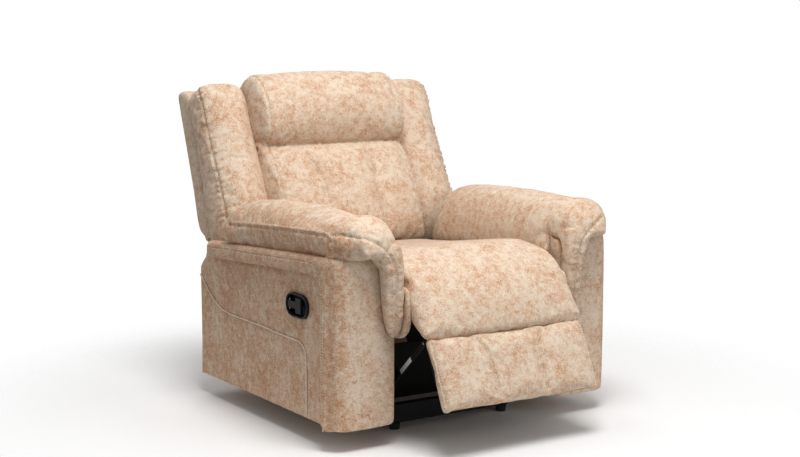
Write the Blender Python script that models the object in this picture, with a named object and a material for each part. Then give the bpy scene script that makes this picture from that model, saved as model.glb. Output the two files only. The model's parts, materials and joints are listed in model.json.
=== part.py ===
"""Recliner armchair: steel base, sliding seat, reclining back, folding footrest and release lever.

Metres, +Z up.  The chair faces -Y and the sitter's right arm is on -X.  The origin is on the floor,
below the middle of the chair.  Side profiles are drawn in (forward, height): forward grows towards
the front of the chair, and side_point() turns it into a world Y.
"""
import math

import bmesh
import bpy
from mathutils import Vector

# ---------------------------------------------------------------- driving dimensions (metres)
ORIGIN_SHIFT = 0.0852           # from the design origin, at the seat, to the middle of the chair

TOUCH = 0.0003                  # gap between two faces that touch
RUN = 0.0003                    # radial clearance of a pin in its hole

ARM_INNER = 0.285               # half the width between the arms
ARM_WIDTH = 0.187               # from there to the outside of the side panel
ARM_OUTER = ARM_INNER + ARM_WIDTH
SURROUND_PROUD = 0.014          # how far the belt and the front panel stand out of the side panel
SIDE_PANEL_WALL = 0.026
ARM_BOTTOM = 0.062              # clearance under the arms
ARM_FRONT = 0.500               # forward end of the arm core
ARM_REAR = -0.325               # rear end of the arms
ARM_STEP = -0.112               # behind this the core is low, which leaves a pocket for the wing
ARM_STEP_HEIGHT = 0.280
ARM_TOP_REAR = 0.512            # height of the core's top at the step
ARM_TOP_FRONT = 0.547           # and at its front
FRONT_PANEL_WALL = 0.045
FRONT_PANEL_TOP = ARM_TOP_FRONT - 0.020
BELT_DEPTH = 0.055              # height of the belt
BELT_REAR = -0.240
PAD_TOP_REAR = ARM_TOP_REAR + 0.128
PAD_TOP = ARM_TOP_FRONT + 0.117
PAD_OVERHANG = 0.061            # of the pad's nose in front of the front panel
PAD_NOSE = ARM_FRONT + FRONT_PANEL_WALL + PAD_OVERHANG
PAD_GAP = 0.0015                # between the pad and what it lies on
TAIL_WIDTH = 0.043              # of the pad's tail on the front panel
TAIL_END = 0.318                # height of the tail's lower end

NOSE_AXIS = (0.500, 0.475)      # the chaise pad's hinge
NOSE_RADIUS = 0.055
NOSE_GAP = 0.003                # between the nose and the hollow of the seat cushion
NOSE_LIP = 0.007                # of the seat cushion, above that hollow
CHAISE_SHAFT_RADIUS = 0.005

LINK_LENGTH = 0.2154            # of the parallel links, and from the nose axis to the footrest hinge
LINK_ANGLE = -52.5              # of the links at rest, in degrees above the forward axis
REAR_PIVOT = (0.321, 0.315)     # of the rear link on the side plate
FRONT_PIVOT = (0.373, 0.362)    # of the front link on the side plate
LINK_HALF_WIDTH = 0.011
LINK_WALL = 0.004
STUB_RADIUS = 0.005
OPEN_PIVOT_CLEARANCE = 0.0010   # of the pivot that closes the linkage
TORQUE_TUBE_RADIUS = 0.010

SIDE_PLATE_WALL = 0.003
BORDER_WIDTH = 0.017            # the seat's side border, between the arm and the side plate
BORDER_GAP = 0.0015             # on each side of it
PLANE_GAP = 0.0025              # between two planes of the mechanism
SIDE_PLATE_X = ARM_INNER - BORDER_WIDTH - 2 * BORDER_GAP - SIDE_PLATE_WALL
LINK_X = SIDE_PLATE_X - PLANE_GAP - LINK_WALL
CARRIER_X = LINK_X - PLANE_GAP - LINK_WALL
BRACKET_X = CARRIER_X - PLANE_GAP - LINK_WALL

SEAT_SIDE_GAP = 0.002           # between the seat cushion and the side plate
CHAISE_SIDE_GAP = 0.004         # and between the chaise pad and the side plate
SEAT_HALF = SIDE_PLATE_X - SEAT_SIDE_GAP
CHAISE_HALF = SIDE_PLATE_X - CHAISE_SIDE_GAP
SEAT_LINK_GAP = 0.003           # between the front link and the cushion above it
SEAT_BOTTOM = FRONT_PIVOT[1] + LINK_HALF_WIDTH + SEAT_LINK_GAP
SEAT_TOP_REAR = 0.446
SEAT_TOP_FRONT = NOSE_AXIS[1] + NOSE_RADIUS + NOSE_GAP + NOSE_LIP
SEAT_REAR = -0.105
SEAT_CROWN = ((0.100, 0.362), (0.300, 0.755), (0.400, 0.936))   # forward, share of the top's rise

FOOTREST_OFFSET = (0.0469, 0.0289)  # of the face's upper edge from the footrest's hinge
FOOTREST_LENGTH = 0.2156
FOOTREST_LEAN = -64.74          # of the face, in degrees above the forward axis
FOOTREST_HALF = CHAISE_HALF - 0.002
FOOTREST_HINGE_RADIUS = 0.004
FOOTREST_PAD = 0.032            # thickness of the pad and of the board behind it
FOOTREST_BOARD = 0.012
SEAM_GAP = 0.004                # room on each side of the seam between chaise and footrest

BACK_AXIS = (-0.155, 0.400)     # the back's hinge
BACK_FOOT = (-0.412, 0.444)     # a point on the outer back panel
BACK_SLOPE = 0.3589             # rearward run for each unit of height
BACK_PANEL_WALL = 0.012
BACK_TAIL_HALF = ARM_INNER - 0.017  # its narrow lower end passes between the arms
BACK_TOP = 0.955
BACK_CORNER = 0.045
BACK_TAIL = 0.300
BACK_WIDE_FROM = 0.470
CUSHION_HALF = SIDE_PLATE_X     # half the width of the headrest and the lumbar cushion
BACK_BRACKET_GAP = 0.003        # between the side plate and the back's bracket
BACK_BRACKET_WALL = 0.004
BACK_BRACKET_X = SIDE_PLATE_X + SIDE_PLATE_WALL + BACK_BRACKET_GAP
WING_GAP = 0.004                # between the bracket and the wing
WING_INNER = BACK_BRACKET_X + BACK_BRACKET_WALL + WING_GAP
WING_POCKET_GAP = 0.006         # between the wing and the side panel
WING_OUTER = ARM_OUTER - SIDE_PANEL_WALL - WING_POCKET_GAP
BACK_HALF = WING_OUTER - 0.030  # half the width of the outer back panel
POST_WIDTH = 0.030
BACK_PIN_RADIUS = 0.005
HEAD_SEAM_DROP = 0.167          # from the back's top to the seam under the headrest
HEAD_SEAM_AHEAD = 0.2735        # and that seam's distance from the outer back panel
HEAD_SEAM_GAP = 0.002           # on each side of the seam
# lumbar cushion: share of the height from the seat to that seam, distance from the back panel
LUMBAR_FRONT = ((0.2485, 0.3285), (0.5515, 0.3323), (0.8242, 0.3246))
# headrest: height above the back's top, distance from the back panel
HEADREST_FRONT = ((-0.105, 0.3137), (-0.025, 0.3244), (0.035, 0.3080), (0.065, 0.2737),
                  (0.069, 0.2302), (0.045, 0.1715), (-0.005, 0.0936))
# wing: share of the height from its foot to its shoulder, then heights above the back's top
WING_FOOT = 0.470
WING_SHOULDER_DROP = 0.155
WING_FRONT = ((0.0, 0.2713), (0.2727, 0.3016), (0.606, 0.2781), (1.0, 0.2498))
WING_CROWN = ((-0.035, 0.2378), (0.017, 0.2295), (0.033, 0.2022), (0.020, 0.1526))

BASE_HALF = ARM_INNER - 0.075
BASE_FRONT = 0.403
BASE_REAR = -0.320
RAIL_WIDTH = 0.025
RAIL_BOTTOM = 0.020
SIDE_RAIL_TOP = 0.055
FRONT_RAIL_TOP = 0.075
FOOT_RADIUS = 0.017
FOOT_TAPER = 0.85               # of the foot's radius at the floor
UPRIGHT_WALL = 0.006            # the plate between a side rail and its glide track
UPRIGHT_REAR = -0.060
UPRIGHT_FRONT = 0.240
BOARD_SETBACK = 0.003           # of the rear cross board on its rail
BOARD_WALL = 0.018
BOARD_TOP = 0.170
TRACK_TOP = 0.2997              # the glide track that carries the seat's cross rails
TRACK_WIDTH = 0.040
TRACK_WALL = 0.014
TRACK_INSET = 0.018             # from the side rail's outer face to the track's
TRACK_REAR = -0.100
TRACK_FRONT = 0.295
CROSS_RAIL = 0.025              # width of a cross rail of the seat
CROSS_RAIL_WALL = 0.0297
CROSS_RAIL_PLACES = (("rear", -0.060), ("front", 0.260))
SEAT_RAIL_X = BASE_HALF - 0.005
SEAT_RAIL_WALL = 0.030
SEAT_RAIL_FRONT = 0.430
SPRING_WIRE = 0.0019            # radius of a seat spring's wire
SPRING_PLACES = (0.010, 0.150, 0.290)
SPRING_TURNS = 9
SPRING_SWING = 0.022            # of the wire to each side of its line

LEVER_CENTRE = (0.325, 0.385)
BEZEL_SIZE = (0.124, 0.068)
BEZEL_DEPTH = 0.024
BEZEL_PROUD = 0.010             # of the side panel
BEZEL_WALL = 0.004
LEVER_WALL = 0.008
LEVER_AXIS_FORWARD = 0.281
LEVER_RECESS = 0.001            # of the lever's face below the bezel's rim
LEVER_TAB_HALF = 0.010          # half the height of the tab on the pin
LEVER_TAB_BEHIND = 0.006        # the tab's end, behind the pin
PADDLE_HALF = 0.022             # half the height of the part that the fingers pull
PADDLE_REAR = -0.006            # its ends, from the middle of the bezel
PADDLE_FRONT = 0.024
LEVER_PIN_RADIUS = 0.002
LEVER_PIN_HALF = 0.016
CABLE_RADIUS = 0.0025
CABLE_HOLE_RADIUS = 0.0035
CABLE_BEND = 0.014
CABLE_AHEAD = 0.019             # of the cable in front of the lever's pin
CABLE_DROP = 0.025              # and below its middle

CREAM = (0.720, 0.560, 0.430)
BLACK_STEEL = (0.020, 0.020, 0.022)
BLACK_PLASTIC = (0.025, 0.024, 0.024)
BRIGHT_STEEL = (0.560, 0.560, 0.580)
PLYWOOD = (0.560, 0.400, 0.240)


# ---------------------------------------------------------------- helpers
def side_point(x, forward, height):
    """A point of a side profile, in the world."""
    return Vector((x, ORIGIN_SHIFT - forward, height))


def polar(centre, radius, degrees):
    """The point at an angle round a centre, in (forward, height)."""
    turn = math.radians(degrees)
    return (centre[0] + radius * math.cos(turn), centre[1] + radius * math.sin(turn))


def arc(centre, radius, start, end, steps):
    """Points of an arc in (forward, height), angles in degrees."""
    return [polar(centre, radius, start + (end - start) * i / steps) for i in range(steps + 1)]


def material(name, color, roughness, metallic=0.0):
    """A Principled material, made once for each name."""
    found = bpy.data.materials.get(name)
    if found:
        return found
    made = bpy.data.materials.new(name)
    made.use_nodes = True
    shader = made.node_tree.nodes["Principled BSDF"]
    shader.inputs["Base Color"].default_value = (*color, 1.0)
    shader.inputs["Roughness"].default_value = roughness
    shader.inputs["Metallic"].default_value = metallic
    return made


def fabric():
    return material("suede_fabric", CREAM, 0.85)


def black_steel():
    return material("black_steel", BLACK_STEEL, 0.45, 0.8)


def bright_steel():
    return material("bright_steel", BRIGHT_STEEL, 0.3, 1.0)


def plywood():
    return material("plywood", PLYWOOD, 0.7)


def black_plastic():
    return material("black_plastic", BLACK_PLASTIC, 0.4)


def place(name, mesh, finish):
    """Put a mesh in the scene under a sub-part's name."""
    piece = bpy.data.objects.new(name, mesh)
    bpy.context.collection.objects.link(piece)
    if finish:
        mesh.materials.append(finish)
    return piece


def soften(piece, width, steps=2):
    """Round the edges of a piece with a Bevel."""
    bevel = piece.modifiers.new("soft_edges", "BEVEL")
    bevel.width = width
    bevel.segments = steps
    bevel.limit_method = "ANGLE"
    bevel.angle_limit = math.radians(50)
    return piece


def extruded(name, loop, along, finish, rounding=0.0, steps=2):
    """A closed solid: a flat loop of world points, extruded along a vector."""
    shape = bmesh.new()
    face = shape.faces.new([shape.verts.new(p) for p in loop])
    pushed = bmesh.ops.extrude_face_region(shape, geom=[face])
    moved = [v for v in pushed["geom"] if isinstance(v, bmesh.types.BMVert)]
    bmesh.ops.translate(shape, vec=along, verts=moved)
    bmesh.ops.recalc_face_normals(shape, faces=shape.faces)
    mesh = bpy.data.meshes.new(name)
    shape.to_mesh(mesh)
    shape.free()
    piece = place(name, mesh, finish)
    if rounding:
        soften(piece, rounding, steps)
    return piece


def profile(name, outline, x_from, x_to, finish, rounding=0.0, steps=2):
    """A side profile in (forward, height), as wide as from x_from to x_to."""
    loop = [side_point(x_from, forward, height) for forward, height in outline]
    return extruded(name, loop, Vector((x_to - x_from, 0, 0)), finish, rounding, steps)


def block(name, low, high, finish, rounding=0.0, steps=2):
    """A box between two corners given as (x, forward, height)."""
    outline = [(low[1], low[2]), (high[1], low[2]), (high[1], high[2]), (low[1], high[2])]
    return profile(name, outline, low[0], high[0], finish, rounding, steps)


def rod(name, centre, radius, x_from, x_to, finish, sides=16):
    """A round bar that lies along X, centred on a point of the side profile."""
    outline = arc(centre, radius, 0, 360 * (sides - 1) / sides, sides - 1)
    return profile(name, outline, x_from, x_to, finish)


def hidden(tool):
    """Keep a cutter out of the model."""
    tool.hide_render = True
    tool.display_type = "WIRE"
    return tool


def combine(piece, tool, operation):
    """Cut a tool from a piece, or weld it on."""
    step = piece.modifiers.new(operation.lower(), "BOOLEAN")
    step.operation = operation
    step.solver = "EXACT"
    step.object = hidden(tool)
    return piece


def drill(piece, centre, radius, x_from, x_to):
    """A round hole along X."""
    return combine(piece, rod(piece.name + "_drill", centre, radius, x_from, x_to, None), "DIFFERENCE")


def link_outline(start, end, half_width, steps=6):
    """A flat bar with round ends, round two pivots."""
    lean = math.degrees(math.atan2(end[1] - start[1], end[0] - start[0]))
    return (arc(end, half_width, lean - 90, lean + 90, steps)
            + arc(start, half_width, lean + 90, lean + 270, steps))


SIDES = (("right", -1), ("left", 1))


def back_line(height, ahead=0.0):
    """Forward position at a height, on a plane parallel to the outer back panel and ahead of it."""
    return BACK_FOOT[0] - BACK_SLOPE * (height - BACK_FOOT[1]) + ahead


def linked(pivot):
    """The far end of a parallel link."""
    return polar(pivot, LINK_LENGTH, LINK_ANGLE)


FOOTREST_AXIS = linked(NOSE_AXIS)
CARRIER_REAR = linked(REAR_PIVOT)
CARRIER_FRONT = linked(FRONT_PIVOT)
FOOTREST_TOP = (FOOTREST_AXIS[0] + FOOTREST_OFFSET[0], FOOTREST_AXIS[1] + FOOTREST_OFFSET[1])
FOOTREST_FOOT = polar(FOOTREST_TOP, FOOTREST_LENGTH, FOOTREST_LEAN)
HEAD_SEAM = BACK_TOP - HEAD_SEAM_DROP


def back_point(height, ahead):
    """A point at a height and at a distance in front of the outer back panel."""
    return (back_line(height, ahead), height)


def around(centre, offsets):
    """Points given by their offsets from a centre."""
    return [(centre[0] + forward, centre[1] + height) for forward, height in offsets]


# ---------------------------------------------------------------- base
def make_base():
    finish = black_steel()
    for side, sign in SIDES:
        outer = sign * BASE_HALF
        inner = sign * (BASE_HALF - RAIL_WIDTH)
        rail = block("base_rail_" + side, (inner, BASE_REAR + RAIL_WIDTH + TOUCH, RAIL_BOTTOM),
                     (outer, BASE_FRONT - RAIL_WIDTH - TOUCH, SIDE_RAIL_TOP), finish)
        upright = block(rail.name + "_upright", (sign * (BASE_HALF - UPRIGHT_WALL), UPRIGHT_REAR, RAIL_BOTTOM),
                        (outer, UPRIGHT_FRONT, TRACK_TOP), None)
        track_x = sign * (BASE_HALF - TRACK_INSET)
        track = block(rail.name + "_track", (track_x, TRACK_REAR, TRACK_TOP - TRACK_WALL),
                      (track_x + sign * TRACK_WIDTH, TRACK_FRONT, TRACK_TOP), None)
        combine(rail, upright, "UNION")
        combine(rail, track, "UNION")
        for end, forward in (("front", BASE_FRONT - RAIL_WIDTH / 2), ("rear", BASE_REAR + RAIL_WIDTH / 2)):
            make_foot("foot_" + end + "_" + side, sign * (BASE_HALF - FOOT_RADIUS), forward)
    block("base_rail_front", (-BASE_HALF, BASE_FRONT - RAIL_WIDTH, RAIL_BOTTOM),
          (BASE_HALF, BASE_FRONT, FRONT_RAIL_TOP), finish, 0.002)
    block("base_rail_rear", (-BASE_HALF, BASE_REAR, RAIL_BOTTOM),
          (BASE_HALF, BASE_REAR + RAIL_WIDTH, SIDE_RAIL_TOP), finish, 0.002)
    board_rear = BASE_REAR + BOARD_SETBACK
    block("cross_board_rear", (-ARM_INNER + TOUCH, board_rear, SIDE_RAIL_TOP + TOUCH),
          (ARM_INNER - TOUCH, board_rear + BOARD_WALL, BOARD_TOP), plywood())


def make_foot(name, x, forward):
    """A round rubber foot under a corner of the base, its top just under the rail."""
    shape = bmesh.new()
    bmesh.ops.create_cone(shape, cap_ends=True, segments=20, radius1=FOOT_RADIUS * FOOT_TAPER,
                          radius2=FOOT_RADIUS, depth=RAIL_BOTTOM - TOUCH)
    lift = side_point(x, forward, (RAIL_BOTTOM - TOUCH) / 2)
    bmesh.ops.translate(shape, vec=lift, verts=shape.verts)
    mesh = bpy.data.meshes.new(name)
    shape.to_mesh(mesh)
    shape.free()
    place(name, mesh, material("foot_rubber", BLACK_PLASTIC, 0.8))


# ---------------------------------------------------------------- arms
def arm_top(forward):
    """Height of the arm core's sloping top."""
    share = (forward - ARM_STEP) / (ARM_FRONT - ARM_STEP)
    return ARM_TOP_REAR + share * (ARM_TOP_FRONT - ARM_TOP_REAR)


def make_arm(side, sign):
    panel_inner = ARM_OUTER - SIDE_PANEL_WALL
    surround_outer = ARM_OUTER + SURROUND_PROUD

    core = profile("arm_core_" + side,
                   [(ARM_REAR, ARM_BOTTOM + 0.01), (ARM_FRONT, ARM_BOTTOM + 0.01),
                    (ARM_FRONT, arm_top(ARM_FRONT)), (ARM_STEP, arm_top(ARM_STEP)),
                    (ARM_STEP, ARM_STEP_HEIGHT), (ARM_REAR, ARM_STEP_HEIGHT)],
                   sign * ARM_INNER, sign * (panel_inner - TOUCH), plywood())

    panel_top = ARM_TOP_REAR - BELT_DEPTH / 2
    panel = profile("side_panel_" + side,
                    [(ARM_REAR, ARM_BOTTOM), (ARM_FRONT, ARM_BOTTOM), (ARM_FRONT, arm_top(ARM_FRONT)),
                     (BELT_REAR, arm_top(BELT_REAR)), (BELT_REAR - 0.03, panel_top - 0.020),
                     (ARM_REAR, panel_top - 0.075)],
                    sign * panel_inner, sign * ARM_OUTER, fabric())

    front_from = ARM_FRONT + TOUCH
    front_to = front_from + FRONT_PANEL_WALL
    surround = block("arm_surround_" + side, (sign * ARM_INNER, front_from, ARM_BOTTOM),
                     (sign * surround_outer, front_to, FRONT_PANEL_TOP), fabric())
    belt_lap = ARM_FRONT + FRONT_PANEL_WALL / 2
    belt = profile(surround.name + "_belt",
                   [(BELT_REAR, arm_top(BELT_REAR) - BELT_DEPTH), (belt_lap, FRONT_PANEL_TOP - BELT_DEPTH),
                    (belt_lap, FRONT_PANEL_TOP), (ARM_FRONT - 0.004, FRONT_PANEL_TOP),
                    (ARM_FRONT - 0.004, arm_top(ARM_FRONT - 0.004)), (BELT_REAR, arm_top(BELT_REAR))],
                   sign * (ARM_OUTER + TOUCH), sign * surround_outer, None)
    combine(surround, belt, "UNION")

    gap = PAD_GAP
    rear = ARM_STEP - 0.006
    pad = profile("arm_pad_" + side,
                  [(rear, arm_top(rear) + gap), (ARM_FRONT + gap, arm_top(ARM_FRONT) + gap),
                   (ARM_FRONT + gap, FRONT_PANEL_TOP + gap), (PAD_NOSE - 0.015, FRONT_PANEL_TOP + gap),
                   (PAD_NOSE, FRONT_PANEL_TOP + 0.030), (PAD_NOSE - 0.035, PAD_TOP - 0.050),
                   (ARM_FRONT - 0.080, PAD_TOP - 0.006), (ARM_FRONT - 0.260, PAD_TOP),
                   (rear + 0.110, PAD_TOP_REAR + 0.010), (rear + 0.020, PAD_TOP_REAR - 0.020),
                   (rear, PAD_TOP_REAR - 0.050)],
                  sign * (ARM_INNER + 0.002), sign * (surround_outer + 0.002), fabric())
    lap = FRONT_PANEL_TOP + 0.015
    face = front_to + gap
    tail = profile(pad.name + "_tail",
                   [(face, lap), (face, TAIL_END + 0.010), (face + 0.012, TAIL_END),
                    (face + 0.024, TAIL_END + 0.014), (face + 0.040, TAIL_END + 0.100),
                    (face + 0.048, lap)],
                   sign * (ARM_INNER + 0.002), sign * (ARM_INNER + 0.002 + TAIL_WIDTH), None)
    combine(pad, tail, "UNION")
    return core, panel


def rounded_outline(centre, size, steps=6):
    """An oval with straight top and bottom, in (forward, height)."""
    radius = size[1] / 2
    run = size[0] / 2 - radius
    return (arc((centre[0] + run, centre[1]), radius, -90, 90, steps)
            + arc((centre[0] - run, centre[1]), radius, 90, 270, steps))


def make_lever(core, panel):
    """The recessed release lever on the sitter's right arm, and its cable."""
    face = -(ARM_OUTER + BEZEL_PROUD)
    floor = face + BEZEL_DEPTH
    bezel = profile("lever_bezel", rounded_outline(LEVER_CENTRE, BEZEL_SIZE), face, floor, black_plastic())
    dish = (BEZEL_SIZE[0] - 2 * BEZEL_WALL, BEZEL_SIZE[1] - 2 * BEZEL_WALL)
    combine(bezel, profile("bezel_dish", rounded_outline(LEVER_CENTRE, dish), face - 0.01,
                           floor - BEZEL_WALL, None), "DIFFERENCE")
    room = (BEZEL_SIZE[0] + 2 * TOUCH, BEZEL_SIZE[1] + 2 * TOUCH)
    combine(panel, profile("bezel_room", rounded_outline(LEVER_CENTRE, room), -ARM_OUTER - 0.01,
                           floor + TOUCH, None), "DIFFERENCE")

    lever_face = face + LEVER_RECESS
    paddle_rear = LEVER_CENTRE[0] + PADDLE_REAR
    paddle_front = LEVER_CENTRE[0] + PADDLE_FRONT
    height = LEVER_CENTRE[1]
    tab_rear = LEVER_AXIS_FORWARD - LEVER_TAB_BEHIND
    lever = profile("release_lever",
                    [(tab_rear, height - LEVER_TAB_HALF), (paddle_rear, height - LEVER_TAB_HALF),
                     (paddle_rear, height - PADDLE_HALF), (paddle_front, height - PADDLE_HALF),
                     (paddle_front, height + PADDLE_HALF), (paddle_rear, height + PADDLE_HALF),
                     (paddle_rear, height + LEVER_TAB_HALF), (tab_rear, height + LEVER_TAB_HALF)],
                    lever_face, lever_face + LEVER_WALL, black_plastic())
    pin_x = lever_face + LEVER_WALL / 2
    combine(lever, upright_rod("lever_bore", pin_x, LEVER_AXIS_FORWARD, height - PADDLE_HALF,
                               height + PADDLE_HALF, LEVER_PIN_RADIUS + RUN, None), "DIFFERENCE")
    upright_rod("lever_pin", pin_x, LEVER_AXIS_FORWARD, height - LEVER_PIN_HALF, height + LEVER_PIN_HALF,
                LEVER_PIN_RADIUS, bright_steel())

    cable_z = height - CABLE_DROP
    cable_f = LEVER_AXIS_FORWARD + CABLE_AHEAD
    drill(core, (cable_f, cable_z), CABLE_HOLE_RADIUS, -ARM_OUTER, -ARM_INNER + 0.01)
    drill(panel, (cable_f, cable_z), CABLE_HOLE_RADIUS, -ARM_OUTER, -ARM_INNER)
    make_cable(floor + TOUCH, cable_f, cable_z)


def upright_rod(name, x, forward, low, high, radius, finish):
    """A round bar that stands along Z."""
    steps = 16
    loop = []
    for i in range(steps):
        turn = 2 * math.pi * i / steps
        loop.append(side_point(x + radius * math.cos(turn), forward + radius * math.sin(turn), low))
    return extruded(name, loop, Vector((0, 0, high - low)), finish)


def make_cable(start_x, forward, height):
    """The release cable, through the arm and down to the base rail beside the mechanism."""
    bend = CABLE_BEND
    drop_x = -(ARM_INNER - TOUCH - bend)
    rail_z = (RAIL_BOTTOM + SIDE_RAIL_TOP) / 2
    route = [(start_x, height)]
    for i in range(9):
        turn = math.radians(90 * i / 8)
        route.append((drop_x - bend + bend * math.sin(turn), height - bend + bend * math.cos(turn)))
    for i in range(9):
        turn = math.radians(90 * i / 8)
        route.append((drop_x + bend - bend * math.cos(turn), rail_z + bend - bend * math.sin(turn)))
    route.append((-BASE_HALF - TOUCH, rail_z))
    tube("release_cable", [side_point(x, forward, z) for x, z in route], CABLE_RADIUS, black_plastic())


def tube(name, points, radius, finish, resolution=2):
    """A round wire along a list of points."""
    curve = bpy.data.curves.new(name, "CURVE")
    curve.dimensions = "3D"
    curve.bevel_depth = radius
    curve.bevel_resolution = resolution
    curve.use_fill_caps = True
    run = curve.splines.new("POLY")
    run.points.add(len(points) - 1)
    for point, place_at in zip(run.points, points):
        point.co = (*place_at, 1.0)
    piece = bpy.data.objects.new(name, curve)
    bpy.context.collection.objects.link(piece)
    curve.materials.append(finish)
    return piece


# ---------------------------------------------------------------- seat and mechanism
def make_seat():
    finish = black_steel()
    rail_z = TRACK_TOP + CROSS_RAIL_WALL + 2 * TOUCH
    cross_reach = SIDE_PLATE_X - TOUCH
    for end, forward in CROSS_RAIL_PLACES:
        block("seat_rail_" + end, (-cross_reach, forward, TRACK_TOP + TOUCH),
              (cross_reach, forward + CROSS_RAIL, TRACK_TOP + TOUCH + CROSS_RAIL_WALL), finish)
    for side, sign in SIDES:
        block("seat_rail_" + side, (sign * SEAT_RAIL_X, SEAT_REAR + 0.01, rail_z),
              (sign * (SEAT_RAIL_X + SEAT_RAIL_WALL), SEAT_RAIL_FRONT, rail_z + SEAT_RAIL_WALL), plywood())
        make_side_plate(side, sign)
        border_rear, border_front = ARM_FRONT - 0.100, ARM_FRONT + 0.050
        border_low, border_high = TRACK_TOP + TOUCH, NOSE_AXIS[1] - 0.018
        profile("seat_border_" + side,
                [(border_rear, border_low), (border_front - 0.025, border_low),
                 (border_front - 0.007, border_low + 0.007), (border_front, border_low + 0.025),
                 (border_front, border_high), (border_rear, border_high)],
                sign * (SIDE_PLATE_X + SIDE_PLATE_WALL + BORDER_GAP), sign * (ARM_INNER - BORDER_GAP),
                fabric())
    for number, forward in enumerate(SPRING_PLACES, 1):
        make_spring("seat_spring_%d" % number, forward, rail_z + SEAT_RAIL_WALL + SPRING_WIRE + TOUCH)

    hollow = arc(NOSE_AXIS, NOSE_RADIUS + NOSE_GAP, 92, 195, 12)
    profile("seat_cushion",
            [(SEAT_REAR, SEAT_TOP_REAR - 0.012), (SEAT_REAR + 0.020, SEAT_TOP_REAR)]
            + [(forward, SEAT_TOP_REAR + rise * (SEAT_TOP_FRONT - SEAT_TOP_REAR))
               for forward, rise in SEAT_CROWN]
            + [(NOSE_AXIS[0] - 0.003, SEAT_TOP_FRONT)]
            + hollow + [(hollow[-1][0] - 0.010, SEAT_BOTTOM), (SEAT_REAR, SEAT_BOTTOM)],
            -SEAT_HALF, SEAT_HALF, fabric())

    rod("chaise_shaft", NOSE_AXIS, CHAISE_SHAFT_RADIUS, -(SIDE_PLATE_X + SIDE_PLATE_WALL),
        SIDE_PLATE_X + SIDE_PLATE_WALL, bright_steel())
    make_chaise()


def make_spring(name, forward, height):
    """A sinuous spring from side rail to side rail."""
    half = SEAT_RAIL_X + SEAT_RAIL_WALL / 2
    steps = SPRING_TURNS * 8
    points = []
    for i in range(steps + 1):
        share = i / steps
        sway = SPRING_SWING * math.sin(2 * math.pi * SPRING_TURNS * share)
        points.append(side_point(-half + 2 * half * share, forward + sway, height))
    tube(name, points, SPRING_WIRE, bright_steel(), 1)


def make_side_plate(side, sign):
    """The mechanism's side plate, with stubs for the two links."""
    inner = sign * SIDE_PLATE_X
    outer = sign * (SIDE_PLATE_X + SIDE_PLATE_WALL)
    plate = profile("side_plate_" + side,
                    around(BACK_AXIS, [(-0.020, -0.015), (-0.017, 0.012), (0.0, 0.020), (0.025, 0.012),
                                       (0.045, -0.025)])
                    + around(REAR_PIVOT, [(0.009, 0.070)])
                    + around(FRONT_PIVOT, [(0.027, 0.068)])
                    + around(NOSE_AXIS, [(-0.015, 0.015), (0.005, 0.016), (0.016, 0.0), (0.010, -0.017)])
                    + around(FRONT_PIVOT, [(0.067, 0.023), (0.017, -0.014)])
                    + around(REAR_PIVOT, [(0.017, -0.015), (-0.001, -0.022), (-0.401, -0.022)]),
                    inner, outer, black_steel())
    for pivot in (REAR_PIVOT, FRONT_PIVOT):
        combine(plate, rod(plate.name + "_stub", pivot, STUB_RADIUS, sign * (LINK_X + 0.0005),
                           outer - sign * 0.001, None), "UNION")
    drill(plate, NOSE_AXIS, CHAISE_SHAFT_RADIUS + RUN, inner - sign * 0.01, outer + sign * 0.01)
    drill(plate, BACK_AXIS, BACK_PIN_RADIUS + RUN, inner - sign * 0.01, outer + sign * 0.01)


def make_chaise():
    """The pad that covers the seat's front and folds with the footrest."""
    along = Vector(FOOTREST_AXIS) - Vector(NOSE_AXIS)
    along.normalize()
    seam = Vector(FOOTREST_TOP) - along * SEAM_GAP
    inward = Vector((along[1], -along[0]))
    under = seam + inward * FOOTREST_PAD
    outline = arc(NOSE_AXIS, NOSE_RADIUS, 40, 360 + LINK_ANGLE - 90, 16)
    outline += [tuple(under), tuple(seam)]
    outline += around(FOOTREST_TOP, [(-0.015, 0.029)]) + around(NOSE_AXIS, [(0.128, -0.051), (0.077, 0.018)])
    pad = profile("chaise_pad", outline, -CHAISE_HALF, CHAISE_HALF, fabric())
    drill(pad, NOSE_AXIS, CHAISE_SHAFT_RADIUS + 2 * RUN, -ARM_INNER, ARM_INNER)


def make_links():
    """Two parallel links on each side, and the plate that they carry without turning it."""
    finish = black_steel()
    for side, sign in SIDES:
        inner = sign * LINK_X
        outer = sign * (LINK_X + LINK_WALL)
        stub_end = sign * (CARRIER_X - 0.0005)
        for end, pivot in (("rear", REAR_PIVOT), ("front", FRONT_PIVOT)):
            link = profile(end + "_link_" + side, link_outline(pivot, linked(pivot), LINK_HALF_WIDTH),
                           inner, outer, finish)
            combine(link, rod(link.name + "_stub", linked(pivot), STUB_RADIUS, stub_end,
                              outer - sign * 0.001, None), "UNION")
            drill(link, pivot, STUB_RADIUS + RUN, inner - sign * 0.01, outer + sign * 0.01)
        carrier = profile("carrier_plate_" + side,
                          link_outline(CARRIER_REAR, FOOTREST_AXIS, LINK_HALF_WIDTH - 0.003),
                          sign * CARRIER_X, sign * (CARRIER_X + LINK_WALL), finish)
        ends = (sign * (CARRIER_X - 0.01), sign * (CARRIER_X + LINK_WALL + 0.001))
        drill(carrier, CARRIER_REAR, STUB_RADIUS + RUN, *ends)
        drill(carrier, CARRIER_FRONT, STUB_RADIUS + OPEN_PIVOT_CLEARANCE, *ends)
        drill(carrier, FOOTREST_AXIS, FOOTREST_HINGE_RADIUS + RUN, *ends)
    rod("torque_tube", REAR_PIVOT, TORQUE_TUBE_RADIUS, -(LINK_X - TOUCH), LINK_X - TOUCH, finish)
    rod("footrest_shaft", FOOTREST_AXIS, FOOTREST_HINGE_RADIUS, -(CARRIER_X + LINK_WALL),
        CARRIER_X + LINK_WALL, bright_steel(), 12)


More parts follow.
